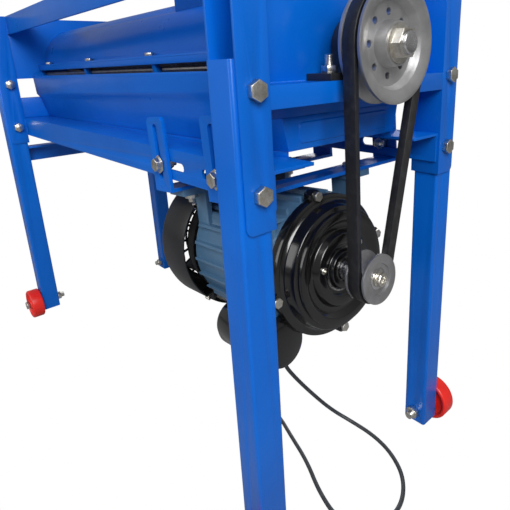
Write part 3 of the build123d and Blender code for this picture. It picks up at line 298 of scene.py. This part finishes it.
looks = {
    "blue_paint": paint(
        "bluePaint", (0.001, 0.135, 0.62), (0.001, 0.112, 0.54), 0.3, 0.08, shine=0.25
    ),
    "zinc_bolts": metal("brightZinc", (0.75, 0.73, 0.68), (0.6, 0.56, 0.48), 0.3, 200.0),
    "bearing_casting": paint(
        "blackCasting", (0.02, 0.021, 0.024), (0.012, 0.012, 0.014), 0.35, 0.3, 0.5
    ),
    "bright_steel": metal("groundSteel", (0.66, 0.66, 0.67), (0.55, 0.55, 0.56), 0.25),
    "plain_steel": metal("rolledSteel", (0.4, 0.39, 0.38), (0.3, 0.29, 0.28), 0.42),
    "motor_grey": paint(
        "motorBlueGrey", (0.09, 0.2, 0.34), (0.065, 0.15, 0.26), 0.42, 0.1, 0.55
    ),
    "motor_black": paint(
        "motorBlack", (0.003, 0.003, 0.0035), (0.005, 0.005, 0.0055), 0.16, 0.5, 0.2, 0.015
    ),
    "pulley_casting": turned(
        "pulleyGrey", (0.5, 0.5, 0.5), (0.4, 0.4, 0.41), 0.42,
        (beltPlane, 0, drumHeight), (1, 0, 0), 0.00035,
    ),
    "belt_rubber": plastic(
        "beltRubber", (0.012, 0.012, 0.013), (0.022, 0.022, 0.024), 0.42, 0.3, 120.0
    ),
    "cord_rubber": plastic(
        "cordSheath", (0.03, 0.034, 0.04), (0.045, 0.05, 0.058), 0.45, 0.1, 90.0
    ),
    "capacitor_shell": metal("drawnShell", (0.6, 0.6, 0.6), (0.5, 0.5, 0.5), 0.3),
    "core_steel": metal("corePlates", (0.3, 0.3, 0.31), (0.22, 0.22, 0.23), 0.45),
    "winding_varnish": plastic(
        "windingVarnish", (0.35, 0.12, 0.03), (0.2, 0.06, 0.02), 0.3, 0.4, 300.0
    ),
    "fan_plastic": plastic("fanPlastic", (0.03, 0.03, 0.032), (0.02, 0.02, 0.02), 0.5),
    "wheel_red": plastic(
        "wheelRed", (0.85, 0.02, 0.012), (0.7, 0.014, 0.01), 0.35, 0.1, 40.0, 0.1
    ),
}
coverBlack = paint(
    "coverBlack", (0.006, 0.0065, 0.008), (0.01, 0.0105, 0.012), 0.38, 0.1, 0.35, 0.02
)
motorPulleyGrey = turned(
    "motorPulleyGrey", (0.42, 0.42, 0.43), (0.32, 0.32, 0.33), 0.42,
    tuple(motorFrame.translation), (math.cos(tilt), 0, math.sin(tilt)), 0.0003,
)
print("materials made:", len(bpy.data.materials))

# each node of the frame starts in the look of its slot
for name, piece in nodes.items():
    if not piece.material_slots:
        piece.data.materials.append(looks[slotOf[name]])
    for entry in piece.material_slots:
        entry.material = looks[slotOf[name]]
    for face in piece.data.polygons:
        face.material_index = 0


# round pieces: radius and place along the shaft, in millimetres
def lathe(
    name, profile, place, body, slot, material=None,
    replaced=(), segments=128, bevel=0.6, closed=True, holes=None,
):
    shape = bmesh.new()
    rings = []
    for step in range(segments):
        turn = 2 * math.pi * step / segments
        x, y = math.cos(turn), math.sin(turn)
        rings.append([shape.verts.new((r * mm * x, r * mm * y, w * mm)) for r, w in profile])
    count = len(profile)
    for here, following in zip(rings, rings[1:] + rings[:1]):
        for i in range(count if closed else count - 1):
            after = (i + 1) % count
            shape.faces.new((here[i], following[i], following[after], here[after]))
    bmesh.ops.remove_doubles(shape, verts=shape.verts, dist=joinDistance)
    bmesh.ops.recalc_face_normals(shape, faces=shape.faces)
    piece = fromShape(name, shape)
    if holes:
        drillHoles(piece, holes)
    if bevel:
        bevelEdges(piece, bevel * mm, 25)
        bake(piece)
    piece.data.transform(place)
    settle(piece, body, slot, material)
    if replaced:
        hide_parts(*replaced)
    return piece


def drillHoles(piece, holes):
    shape = bmesh.new()
    radius, circle = holes["radius"] * mm, holes["circle"] * mm
    for step in range(holes["count"]):
        turn = 2 * math.pi * step / holes["count"]
        spot = (circle * math.cos(turn), circle * math.sin(turn), 0)
        bmesh.ops.create_cone(
            shape, cap_ends=True, segments=24, radius1=radius, radius2=radius,
            depth=holes["depth"] * mm, matrix=Matrix.Translation(spot),
        )
    drills = fromShape("drills", shape)
    cut = piece.modifiers.new("holes", "BOOLEAN")
    cut.operation = "DIFFERENCE"
    cut.solver = "EXACT"
    cut.object = drills
    bake(piece)
    bpy.data.objects.remove(drills)


# mains cord: from the motor's gland down and out across the floor to its plug
mainsCord = {
    "route": [
        (0.35666, -0.038, 0.20669), (0.35875, -0.038, 0.17676), (0.353, -0.02, 0.147),
        (0.352, 0.018, 0.092), (0.36, 0.066, 0.027), (0.392, 0.09, 0.0036),
        (0.44, 0.092, 0.0036), (0.486, 0.082, 0.0036), (0.53, 0.055, 0.0036),
        (0.556, 0.008, 0.0036), (0.549, -0.046, 0.0036), (0.506, -0.072, 0.0036),
        (0.452, -0.058, 0.0036), (0.397, -0.031, 0.0036), (0.335, -0.012, 0.0036),
        (0.29, 0.003, 0.0036), (0.25, 0.01, 0.0036),
    ],
    "radius": 0.0033,
    "bendTop": 0.19,
}
gland = {
    "place": (-0.013, -0.131, -0.175),
    "nut": [(4, 0), (12.7, 0), (12.7, 5.2), (11.4, 6), (4, 6)],
    "collar": [(3.4, 5.5), (9, 5.5), (9, 9)],
    "start": 9,
    "ribs": 6,
    "pitch": 20 / 6,
    "ribWidth": 8.6,
    "ribTaper": 0.68,
    "tip": [(4.2, 30), (3.4, 30)],
}
mainsPlug = {
    "edge": 0.0018,
    "lift": 0.0084,
    "pin": [(0, 0), (2.45, 0), (2.45, 17.6), (2.0, 18.9), (0.9, 19.3), (0, 19.35)],
    "pinAside": 0.0095,
    "pinFrom": 0.0435,
}


# a line along the route, or with a radius a tube
def routeMesh(name, route, radius):
    data = bpy.data.curves.new(name, "CURVE")
    data.dimensions = "3D"
    data.resolution_u = 16
    data.bevel_depth = radius
    data.bevel_resolution = 5
    data.use_fill_caps = True
    spline = data.splines.new("NURBS")
    spline.points.add(len(route) - 1)
    for point, place in zip(spline.points, route):
        point.co = (*place, 1)
    spline.order_u = 3
    spline.use_endpoint_u = True
    piece = link(name, data)
    graph = bpy.context.evaluated_depsgraph_get()
    mesh = bpy.data.meshes.new_from_object(piece.evaluated_get(graph))
    bpy.data.objects.remove(piece)
    return mesh


def makeGland(spec):
    seat = motorFrame @ Matrix.Translation(spec["place"]) @ Matrix.Rotation(math.pi / 2, 4, "X")
    slot, replaced = slotOf["cable_gland"], ("cable_gland",)
    nut = lathe(
        "glandNut", spec["nut"], seat, "motor_carriage", slot,
        replaced=replaced, segments=6, bevel=0.5,
    )
    sleeve = list(spec["collar"])
    pitch = spec["pitch"]
    for rib in range(spec["ribs"]):
        start, width = spec["start"] + rib * pitch, spec["ribWidth"] - spec["ribTaper"] * rib
        sleeve += [(width, start), (width - 0.2, start + pitch * 0.6)]
        sleeve += [(width - 1.3, start + pitch * 0.65), (width - 1.4, start + pitch)]
    relief = lathe(
        "cordRelief", sleeve + spec["tip"], seat, "motor_carriage", slot,
        replaced=replaced, segments=48, bevel=0.2,
    )
    return nut, relief


def makePlug(spec, route):
    plug = roundEdges("mains_plug", spec["edge"], 3)
    last, before = Vector(route[-1]), Vector(route[-2])
    along = (last - before).normalized()
    up = Vector((0, 0, 1))
    plugFrame = Matrix((up, -up.cross(along), along)).transposed().to_4x4()
    plugFrame.translation = last + up * spec["lift"]
    pins = []
    for name, side in (("plugPinLeft", -1), ("plugPinRight", 1)):
        place = plugFrame @ Matrix.Translation((0, side * spec["pinAside"], spec["pinFrom"]))
        pin = lathe(
            name, spec["pin"], place, "frame", "zinc_bolts", segments=24, bevel=0, closed=False
        )
        pins.append(pin)
    return plug, pins


def makeCord(spec):
    path = [tuple(vert.co) for vert in routeMesh("cordLine", spec["route"], 0).vertices]
    shape = bmesh.new()
    shape.from_mesh(routeMesh("cordTube", spec["route"], spec["radius"]))
    bmesh.ops.remove_doubles(shape, verts=shape.verts, dist=joinDistance)
    bmesh.ops.recalc_face_normals(shape, faces=shape.faces)
    cord = fromShape("mainsCordSheath", shape)
    smooth(cord.data)
    cord.data.materials.append(looks["cord_rubber"])
    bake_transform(cord)
    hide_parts("mains_cord")
    nut, relief = makeGland(gland)
    plug, pins = makePlug(mainsPlug, spec["route"])


# folded and welded steel keeps the frame's shape, with its edges rounded
steel = {
    "width": {"default": 0.0007, "legs": 0.0012, "posts": 0.0009},
    "join": 0.00001,
    "flat": 1.2,
    "nodes": [
        "legs", "posts", "lower_rail_near", "lower_rail_far", "upper_rail_near",
        "upper_rail_far", "drive_shelf", "drive_end_plate", "tail_end_plate",
        "tail_upper_member", "tail_lower_member", "grain_trough", "strap_front", "strap_rear",
        "pillow_block", "flange_bearing", "motor_housing", "terminal_box", "leg_bolts",
        "axle_bolts", "bearing_bolts", "strap_bolts", "foot_bolts", "motor_screws",
        "hood_bolts", "drum_pulley_nut", "hood", "feed_hopper", "cob_chute", "concave_frame",
        "endshield_rear", "drum_shaft", "drum_tube", "bearing_outer_rings", "bearing_collars",
        "concave_rods", "motor_shaft", "rotor_core", "stator_core", "stator_windings",
        "motor_bearings", "cooling_fan", "capacitors",
    ],
}


def roundEdges(node, width, segments=2):
    shape = bmesh.new()
    shape.from_mesh(nodes[node].data)
    bmesh.ops.remove_doubles(shape, verts=shape.verts, dist=steel["join"])
    bmesh.ops.dissolve_limit(
        shape, angle_limit=math.radians(steel["flat"]), verts=shape.verts, edges=shape.edges
    )
    piece = fromShape(node + "Rounded", shape)
    bevelEdges(piece, width, 35, segments)
    bake(piece)
    settle(piece, bodyOf[node], slotOf[node], angle=30)
    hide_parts(node)
    return piece


makeCord(mainsCord)
print("cord laid")
for node in steel["nodes"]:
    roundEdges(node, steel["width"].get(node, steel["width"]["default"]))
print("steel edges rounded:", len(steel["nodes"]))


drumPulley = {
    "profile": [
        (66, -15), (66, -11), (53, -8.7), (53, 8.7), (66, 11), (66, 15), (62, 15), (50, 11),
        (46, 1), (26, 1), (24, 15), (12.5, 15), (12.5, -15), (24, -15), (25, -6), (46, -6),
        (48, -15),
    ],
    "holes": {"count": 8, "circle": 34, "radius": 4.2, "depth": 40},
}
motorPulley = {
    "profile": [
        (14, -15), (32, -15), (32, -11), (19, -8.7), (19, 8.7), (32, 11), (32, 15), (20, 15),
        (19.5, 12), (14, 12),
    ],
    "washer": [(0, 12.2), (10, 12.2), (10, 14), (0, 14)],
    "bolt": [(0, 13.5), (9.4, 13.5), (9.4, 19), (8.2, 20.2), (4.6, 20.2), (4.2, 17), (0, 17)],
}
wheels = {
    "profile": [
        (6.1, -14), (13, -14), (14, -9), (29, -9), (31.5, -14), (35, -14), (37.5, -11.5),
        (37.5, 11.5), (35, 14), (31.5, 14), (29, 9), (14, 9), (13, 14), (6.1, 14),
    ],
    "out": 0.477,
    "aside": 0.2155,
    "height": 0.0375,
}
lathe(
    "drumPulleyTurned", drumPulley["profile"], drumFrame, "drum", "pulley_casting",
    replaced=("drum_pulley",), holes=drumPulley["holes"],
)
lathe(
    "motorPulleyTurned", motorPulley["profile"], motorFrame, "rotor", "pulley_casting",
    motorPulleyGrey, replaced=("motor_pulley",),
)
for name, kind, segments in (("pulleyWasher", "washer", 48), ("pulleyBolt", "bolt", 6)):
    lathe(
        name, motorPulley[kind], motorFrame, "rotor", "zinc_bolts",
        replaced=("motor_pulley_bolt",), segments=segments, bevel=0.3, closed=False,
    )
for end, sx in (("drive", 1), ("tail", -1)):
    for side, sy in (("near", -1), ("far", 1)):
        hub = (sx * wheels["out"], sy * wheels["aside"], wheels["height"])
        place = Matrix.Translation(hub) @ Matrix.Rotation(math.pi / 2, 4, "X")
        name = f"wheel_{end}_{side}"
        lathe(
            name + "Moulded", wheels["profile"], place, name, "wheel_red",
            replaced=(name,), segments=96,
        )

frontShield = {
    "profile": [
        (98, -82), (98, -68), (91, -68), (87, -65), (84, -50), (78, -50), (78, -44), (67, -44),
        (61, -51), (53, -51), (49, -42), (36, -42), (33, -47), (27, -47), (25, -40), (15, -40),
        (15, -47), (31, -47), (31, -63), (53, -63), (53, -58), (66, -58), (74, -68), (74, -82),
    ],
    "lugs": (10, 100, 190, 280),
    "lugCircle": 100,
    "lug": [(0, -82), (10, -82), (10, -70), (8.6, -68.2), (0, -68.2)],
    "capScrews": (45, 165, 285),
    "capScrewCircle": 42,
    "capScrew": [
        (0, -43), (4.4, -43), (4.4, -39.6), (3.6, -38.8), (1.9, -38.8), (1.7, -40.6), (0, -40.6)
    ],
}
fanCover = [
    (111, -271), (111, -336), (109.5, -342), (105, -347), (97, -350), (97, -348), (104, -345),
    (107.7, -341), (109, -335.5), (109, -271),
]
lathe(
    "frontShieldCast", frontShield["profile"], motorFrame, "motor_carriage", "motor_black",
    replaced=("endshield_front",), segments=160, bevel=1.2,
)
for kind, slot in (("lug", "motor_black"), ("capScrew", "zinc_bolts")):
    for turn in frontShield[kind + "s"]:
        reach, angle = frontShield[kind + "Circle"] * mm, math.radians(turn)
        offset = (reach * math.cos(angle), reach * math.sin(angle), 0)
        lathe(
            f"{kind}At{turn}", frontShield[kind], motorFrame @ Matrix.Translation(offset),
            "motor_carriage", slot, segments=32, bevel=0, closed=False,
        )
lathe(
    "fanCoverDrum", fanCover, motorFrame, "motor_carriage", "motor_black", coverBlack,
    replaced=("fan_cover",), segments=160, bevel=0.4,
)

# capacitor covers: across, up and front end, from the motor's axis
capCovers = {"near": (-86, -85, -75), "far": (60, -90, -100), "radius": 35, "length": 115}
for side in ("near", "far"):
    x, y, front = capCovers[side]
    r, back = capCovers["radius"], front - capCovers["length"]
    profile = [
        (0, front), (r - 9, front), (r - 3, front - 2.5), (r, front - 9),
        (r, back + 9), (r - 3, back + 2.5), (r - 9, back), (0, back),
    ]
    lathe(
        side + "CapacitorCover", profile, motorFrame @ Matrix.Translation((x * mm, y * mm, 0)),
        "motor_carriage", "motor_black",
        replaced=("capacitor_covers",), segments=96, bevel=0, closed=False,
    )
print("round pieces turned")


# bolt threads past their nuts: radius, starts and ends
threads = {
    "legs": {
        "radius": 6,
        "ends": [
            ((sx * 444, sy * 175, z), (sx * 438.6, sy * 175, z))
            for sx in (-1, 1) for sy in (-1, 1) for z in (514, 616)
        ],
    },
    "axles": {
        "radius": 6,
        "ends": [
            ((sx * 477, sy * 150, 37.5), (sx * 477, sy * 141.6, 37.5))
            for sx in (-1, 1) for sy in (-1, 1)
        ],
    },
    "studs": {
        "radius": 5,
        "ends": [((480, sy * 52.5, 635.5), (480, sy * 52.5, 647.8)) for sy in (-1, 1)],
    },
    "straps": {
        "radius": 5,
        "ends": [
            ((x, sy * 145, 512.5), (x, sy * 138.2, 512.5))
            for x in (400.4, 260.1) for sy in (-1, 1)
        ],
    },
}
threadForm = {"pitch": 1.5, "root": 0.05, "crest": 0.45, "tip": -0.7}


def makeThreads(name, spec, form):
    radius = spec["radius"]
    for index, (start, end) in enumerate(spec["ends"]):
        start, end = Vector(start) * mm, Vector(end) * mm
        reach = (end - start).length / mm
        turns = max(3, round(reach / form["pitch"]))
        profile = [(0, 0)]
        for turn in range(turns):
            profile.append((radius + form["root"], turn * reach / turns))
            profile.append((radius + form["crest"], (turn + 0.5) * reach / turns))
        profile += [(radius + form["tip"], reach), (0, reach)]
        place = (end - start).to_track_quat("Z", "Y").to_matrix().to_4x4()
        place.translation = start
        lathe(
            f"{name}Thread{index}", profile, place, "frame", "zinc_bolts",
            segments=32, bevel=0, closed=False,
        )


for name, spec in threads.items():
    makeThreads(name, spec, threadForm)
print("threads cut")


# a node tree with named inputs, and the modifier that runs it on a piece
def startTree(name, kinds):
    tree = bpy.data.node_groups.new(name, "GeometryNodeTree")
    sides = tree.interface
    made = {
        label: sides.new_socket(name=label, in_out="INPUT", socket_type="NodeSocket" + kind)
        for label, kind in kinds.items()
    }
    sides.new_socket(name="Geometry", in_out="OUTPUT", socket_type="NodeSocketGeometry")
    kit = Kit(tree)
    return tree, made, kit, kit.node("NodeGroupInput")


def endTree(kit, geometry, finish):
    real = kit.node("GeometryNodeRealizeInstances", {"Geometry": geometry})[0]
    dressed = kit.node("GeometryNodeSetMaterial", {"Geometry": real, "Material": finish})[0]
    kit.node("NodeGroupOutput", {"Geometry": dressed})


def grow(name, mesh, tree, made, values, bevel=0):
    piece = link(name, mesh)
    modifier = piece.modifiers.new("tree", "NODES")
    modifier.node_group = tree
    for label, value in values.items():
        modifier[made[label].identifier] = value
    if bevel:
        bevelEdges(piece, bevel * mm)
    return bake(piece)


# drum teeth: square pegs on a four-start spiral
teeth = {"Count": 56, "Row": 14, "Pitch": 0.06, "Side": 0.013, "Height": 0.024, "Foot": 0.044}
toothTurn = math.radians(8)


def toothTree():
    kinds = {
        "Count": "Int", "Row": "Int", "Pitch": "Float", "Side": "Float", "Height": "Float",
        "Foot": "Float", "Finish": "Material",
    }
    tree, made, kit, given = startTree("toothSpiral", kinds)
    count, row, pitch, side, height, foot, finish = given[:7]
    index = kit.node("GeometryNodeInputIndex")[0]
    start = (index / row).math("FLOOR")
    step = index - start * row
    along = (step - (row - 1) * 0.5) * pitch + (start - 1.5) * pitch * 0.25
    turn = start * (math.pi / 2) + step * toothTurn
    reach = foot + height * 0.5
    values = {"X": along, "Y": turn.math("SINE") * reach * -1, "Z": turn.math("COSINE") * reach}
    spot = kit.node("ShaderNodeCombineXYZ", values)[0]
    line = kit.node("GeometryNodeMeshLine", {"Count": count})[0]
    placed = kit.node("GeometryNodeSetPosition", {"Geometry": line, "Position": spot})[0]
    size = kit.node("ShaderNodeCombineXYZ", {"X": side, "Y": side, "Z": height})[0]
    peg = kit.node("GeometryNodeMeshCube", {"Size": size})[0]
    lean = kit.node("ShaderNodeCombineXYZ", {"X": turn})[0]
    pattern = {"Points": placed, "Instance": peg, "Rotation": lean}
    endTree(kit, kit.node("GeometryNodeInstanceOnPoints", pattern)[0], finish)
    return tree, made


def makeTeeth(spec):
    tree, made = toothTree()
    slot = slotOf["drum_teeth"]
    mesh = bpy.data.meshes.new("drumTeethSet")
    piece = grow("drumTeethSet", mesh, tree, made, spec | {"Finish": looks[slot]}, 1.4)
    piece.data.transform(Matrix.Translation((0, 0, drumHeight)))
    settle(piece, "drum", slot)
    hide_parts("drum_teeth")


makeTeeth(teeth)
print("teeth set")


# weld beads: overlapping ripples along each seam, painted over
welds = {
    "bead": {"Step": 0.0016, "Width": 0.0015},
    "seams": [
        [(sx * 453.6, sy * 157.4, z) for z in heights]
        for heights in ((496, 532), (732, 768)) for sx in (-1, 1) for sy in (-1, 1)
    ] + [
        [(460.6, y, 619.8) for y in (sy * 154, sy * 74)] for sy in (-1, 1)
    ],
}


def beadTree():
    kinds = {"Seam": "Geometry", "Step": "Float", "Width": "Float", "Finish": "Material"}
    tree, made, kit, given = startTree("weldBead", kinds)
    seam, step, width, finish = given[:4]
    line = kit.node("GeometryNodeMeshToCurve", {"Mesh": seam})[0]
    spacing = {"Curve": line, "Length": step}
    spaced = kit.node("GeometryNodeResampleCurve", spacing, mode="LENGTH")[0]
    drop = kit.node("GeometryNodeMeshUVSphere", {"Segments": 10, "Rings": 6, "Radius": width})[0]
    spread = {"Min": 0.7, "Max": 1.25, "Seed": 5}
    jitter = kit.node("FunctionNodeRandomValue", spread, data_type="FLOAT")[0]
    pattern = {"Points": spaced, "Instance": drop, "Scale": jitter}
    endTree(kit, kit.node("GeometryNodeInstanceOnPoints", pattern)[0], finish)
    return tree, made


def makeWelds(spec):
    tree, made = beadTree()
    points = [[part * mm for part in place] for seam in spec["seams"] for place in seam]
    mesh = bpy.data.meshes.new("weldBeads")
    mesh.from_pydata(points, [(i, i + 1) for i in range(0, len(points), 2)], [])
    values = spec["bead"] | {"Finish": looks["blue_paint"]}
    piece = grow("weldBeads", mesh, tree, made, values)
    settle(piece, "frame", "blue_paint", angle=60)


makeWelds(welds)
print("welds laid")


# folded skirts that close the gap between the rising trough and the rails
skirt = {
    "reach": 456.5, "out": 99.0, "wall": 1.5, "edge": 0.25,
    "low": 534.9, "tail": 535.6, "drive": 542.8,
}


def makeSkirt(name, side, spec):
    shape = bmesh.new()
    outer, inner, low = spec["out"], spec["out"] - spec["wall"], spec["low"]
    ends = []
    for x, top in ((-spec["reach"], spec["tail"]), (spec["reach"], spec["drive"])):
        outline = [(outer, low), (outer, top), (inner, top), (inner, low)]
        ends.append([shape.verts.new((x * mm, side * y * mm, z * mm)) for y, z in outline])
    shape.faces.new(ends[0])
    shape.faces.new(ends[1])
    for i in range(4):
        after = (i + 1) % 4
        shape.faces.new((ends[0][i], ends[0][after], ends[1][after], ends[1][i]))
    bmesh.ops.recalc_face_normals(shape, faces=shape.faces)
    piece = fromShape(name, shape)
    bevelEdges(piece, spec["edge"] * mm)
    bake(piece)
    settle(piece, "frame", "blue_paint")


makeSkirt("troughSkirtNear", -1, skirt)
makeSkirt("troughSkirtFar", 1, skirt)
print("skirts folded")


# fan cover grille: bars set round the shaft, tied by two rings between hub and rim
grille = {
    "bars": {"Ribs": 24, "Inner": 0.026, "Outer": 0.084, "Bar": 0.0038},
    "rings": (0.27, 0.62),
    "back": -0.349,
    "hub": [(0, -350.5), (24, -350.5), (27, -349.4), (27, -347), (0, -347)],
    "rim": [(82, -347.6), (99, -347.6), (99, -350), (84, -350), (82, -349.3)],
}


def grilleTree(shares):
    kinds = {
        "Ribs": "Int", "Inner": "Float", "Outer": "Float", "Bar": "Float", "Finish": "Material"
    }
    tree, made, kit, given = startTree("ribbedGrille", kinds)
    ribs, inner, outer, bar, finish = given[:5]
    circle = {"Vertices": ribs, "Radius": (inner + outer) * 0.5}
    ring = kit.node("GeometryNodeMeshCircle", circle)[0]
    size = kit.node("ShaderNodeCombineXYZ", {"X": outer - inner, "Y": bar, "Z": bar * 0.6})[0]
    rib = kit.node("GeometryNodeMeshCube", {"Size": size})[0]
    turn = kit.node("GeometryNodeInputIndex")[0] * (2 * math.pi) / ribs
    lean = kit.node("ShaderNodeCombineXYZ", {"Z": turn})[0]
    pattern = {"Points": ring, "Instance": rib, "Rotation": lean}
    spokes = kit.node("GeometryNodeInstanceOnPoints", pattern)[0]
    strip = {"Width": bar * 0.7, "Height": bar}
    section = kit.node("GeometryNodeCurvePrimitiveQuadrilateral", strip)[0]
    hoops = []
    for share in shares:
        hoop = {"Resolution": 96, "Radius": inner + (outer - inner) * share}
        line = kit.node("GeometryNodeCurvePrimitiveCircle", hoop)[0]
        sweep = {"Curve": line, "Profile Curve": section}
        hoops.append(kit.node("GeometryNodeCurveToMesh", sweep)[0])
    joined = kit.node("GeometryNodeJoinGeometry", {"Geometry": [spokes, *hoops]})[0]
    endTree(kit, joined, finish)
    return tree, made


def makeGrille(spec):
    tree, made = grilleTree(spec["rings"])
    mesh = bpy.data.meshes.new("fanCoverGrille")
    values = spec["bars"] | {"Finish": coverBlack}
    piece = grow("fanCoverGrille", mesh, tree, made, values, 0.4)
    piece.data.transform(motorFrame @ Matrix.Translation((0, 0, spec["back"])))
    settle(piece, "motor_carriage", "motor_black", coverBlack)
    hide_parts("fan_cover")
    for name, part, closed in (("grilleHub", "hub", False), ("grilleRim", "rim", True)):
        lathe(
            name, spec[part], motorFrame, "motor_carriage", "motor_black", coverBlack,
            bevel=0.2, closed=closed,
        )


makeGrille(grille)
print("grille set")


# drive belt: a wedge section carried round both pulleys
belt = {
    "top": 16.5,
    "bottom": 10.5,
    "thick": 10,
    "shoulder": 1.5,
    "seat": 1,
    "edge": 0.5,
    "big": (0, drumHeight, 66),
    "small": (motorY, motorZ, 32),
    "arcSteps": 48,
    "straightSteps": 14,
}


# points round both pulleys, inset from the outer face, in y and z
def beltLoop(spec, inset):
    (y1, z1, r1), (y2, z2, r2) = spec["big"], spec["small"]
    r1, r2 = (r1 + spec["seat"] - inset) * mm, (r2 + spec["seat"] - inset) * mm
    apart = math.hypot(y2 - y1, z2 - z1)
    along = math.atan2(z2 - z1, y2 - y1)
    lean = math.acos((r1 - r2) / apart)
    steps, straight = spec["arcSteps"], spec["straightSteps"]

    def arc(y, z, radius, start, sweep):
        turns = [start + sweep * step / steps for step in range(steps + 1)]
        return [(y + radius * math.cos(turn), z + radius * math.sin(turn)) for turn in turns]

    def between(a, b):
        return [
            (a[0] + (b[0] - a[0]) * i / straight, a[1] + (b[1] - a[1]) * i / straight)
            for i in range(1, straight)
        ]

    big = arc(y1, z1, r1, along + lean, 2 * math.pi - 2 * lean)
    small = arc(y2, z2, r2, along - lean, 2 * lean)
    return big + between(big[-1], small[0]) + small + between(small[-1], big[0])


def makeBelt(spec):
    wide, narrow = spec["top"] / 2, spec["bottom"] / 2
    thick, shoulder = spec["thick"], spec["shoulder"]
    section = [
        (-wide, 0), (wide, 0), (wide, shoulder), (narrow, thick), (-narrow, thick),
        (-wide, shoulder),
    ]
    shape = bmesh.new()
    rows = [
        [shape.verts.new((beltPlane + across * mm, y, z)) for y, z in beltLoop(spec, inset)]
        for across, inset in section
    ]
    count = len(rows[0])
    for row, following in zip(rows, rows[1:] + rows[:1]):
        for j in range(count):
            after = (j + 1) % count
            shape.faces.new((row[j], row[after], following[after], following[j]))
    bmesh.ops.recalc_face_normals(shape, faces=shape.faces)
    piece = fromShape("driveBelt", shape)
    bevelEdges(piece, spec["edge"] * mm, 15)
    bake(piece)
    smooth(piece.data)
    piece.data.materials.append(looks["belt_rubber"])
    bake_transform(piece)
    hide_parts("drive_belt")


makeBelt(belt)
print("belt laid")


# studio: pale floor, even white surround, three soft lamps
studio = {
    "floor": 12.0,
    "grey": (0.3, 0.3, 0.3),
    "world": 0.28,
    "lamps": {
        "key": {"place": (2.4, -1.2, 2.2), "aim": (0.3, 0, 0.5), "width": 1.6, "power": 84.0},
        "fill": {"place": (-0.6, -2.6, 1.6), "aim": (0, 0, 0.5), "width": 1.8, "power": 24.0},
        "back": {"place": (-2.0, 2.4, 2.0), "aim": (0, 0, 0.5), "width": 1.8, "power": 34.0},
    },
}
white = (1, 1, 1, 1)


# the camera sees the floor white, and the part sees it grey
def makeFloor(spec):
    size = spec["floor"]
    corners = [(-size, -size, 0), (size, -size, 0), (size, size, 0), (-size, size, 0)]
    mesh = bpy.data.meshes.new("floor")
    mesh.from_pydata(corners, [], [(0, 1, 2, 3)])
    floor = link("floor", mesh)
    material, kit = newMaterial("floorWhite")
    seen = kit.node("ShaderNodeLightPath")[0]
    matt = {"Base Color": (*spec["grey"], 1), "Roughness": 0.8}
    dull = kit.node("ShaderNodeBsdfPrincipled", matt)[0]
    bright = kit.node("ShaderNodeEmission", {"Color": white, "Strength": 1.0})[0]
    both = kit.node("ShaderNodeMixShader", {0: seen, 1: dull, 2: bright})[0]
    kit.node("ShaderNodeOutputMaterial", {"Surface": both})
    mesh.materials.append(material)


def makeSurround(spec):
    world = bpy.data.worlds.new("surround")
    world.use_nodes = True
    world.node_tree.nodes.clear()
    sky = Kit(world.node_tree)
    strength = sky.node("ShaderNodeLightPath")[0] * (1 - spec["world"]) + spec["world"]
    back = sky.node("ShaderNodeBackground", {"Color": white, "Strength": strength})[0]
    sky.node("ShaderNodeOutputWorld", {"Surface": back})
    bpy.context.scene.world = world


def hangLamp(name, spec):
    data = bpy.data.lights.new(name, "AREA")
    data.size = spec["width"]
    data.energy = spec["power"]
    lamp = link(name, data)
    lamp.location = spec["place"]
    aim = Vector(spec["aim"]) - Vector(spec["place"])
    lamp.rotation_euler = aim.to_track_quat("-Z", "Y").to_euler()


makeFloor(studio)
makeSurround(studio)
for name, spec in studio["lamps"].items():
    hangLamp(name, spec)
bpy.context.scene.view_settings.view_transform = "Standard"
bpy.context.view_layer.update()
print("finishing")
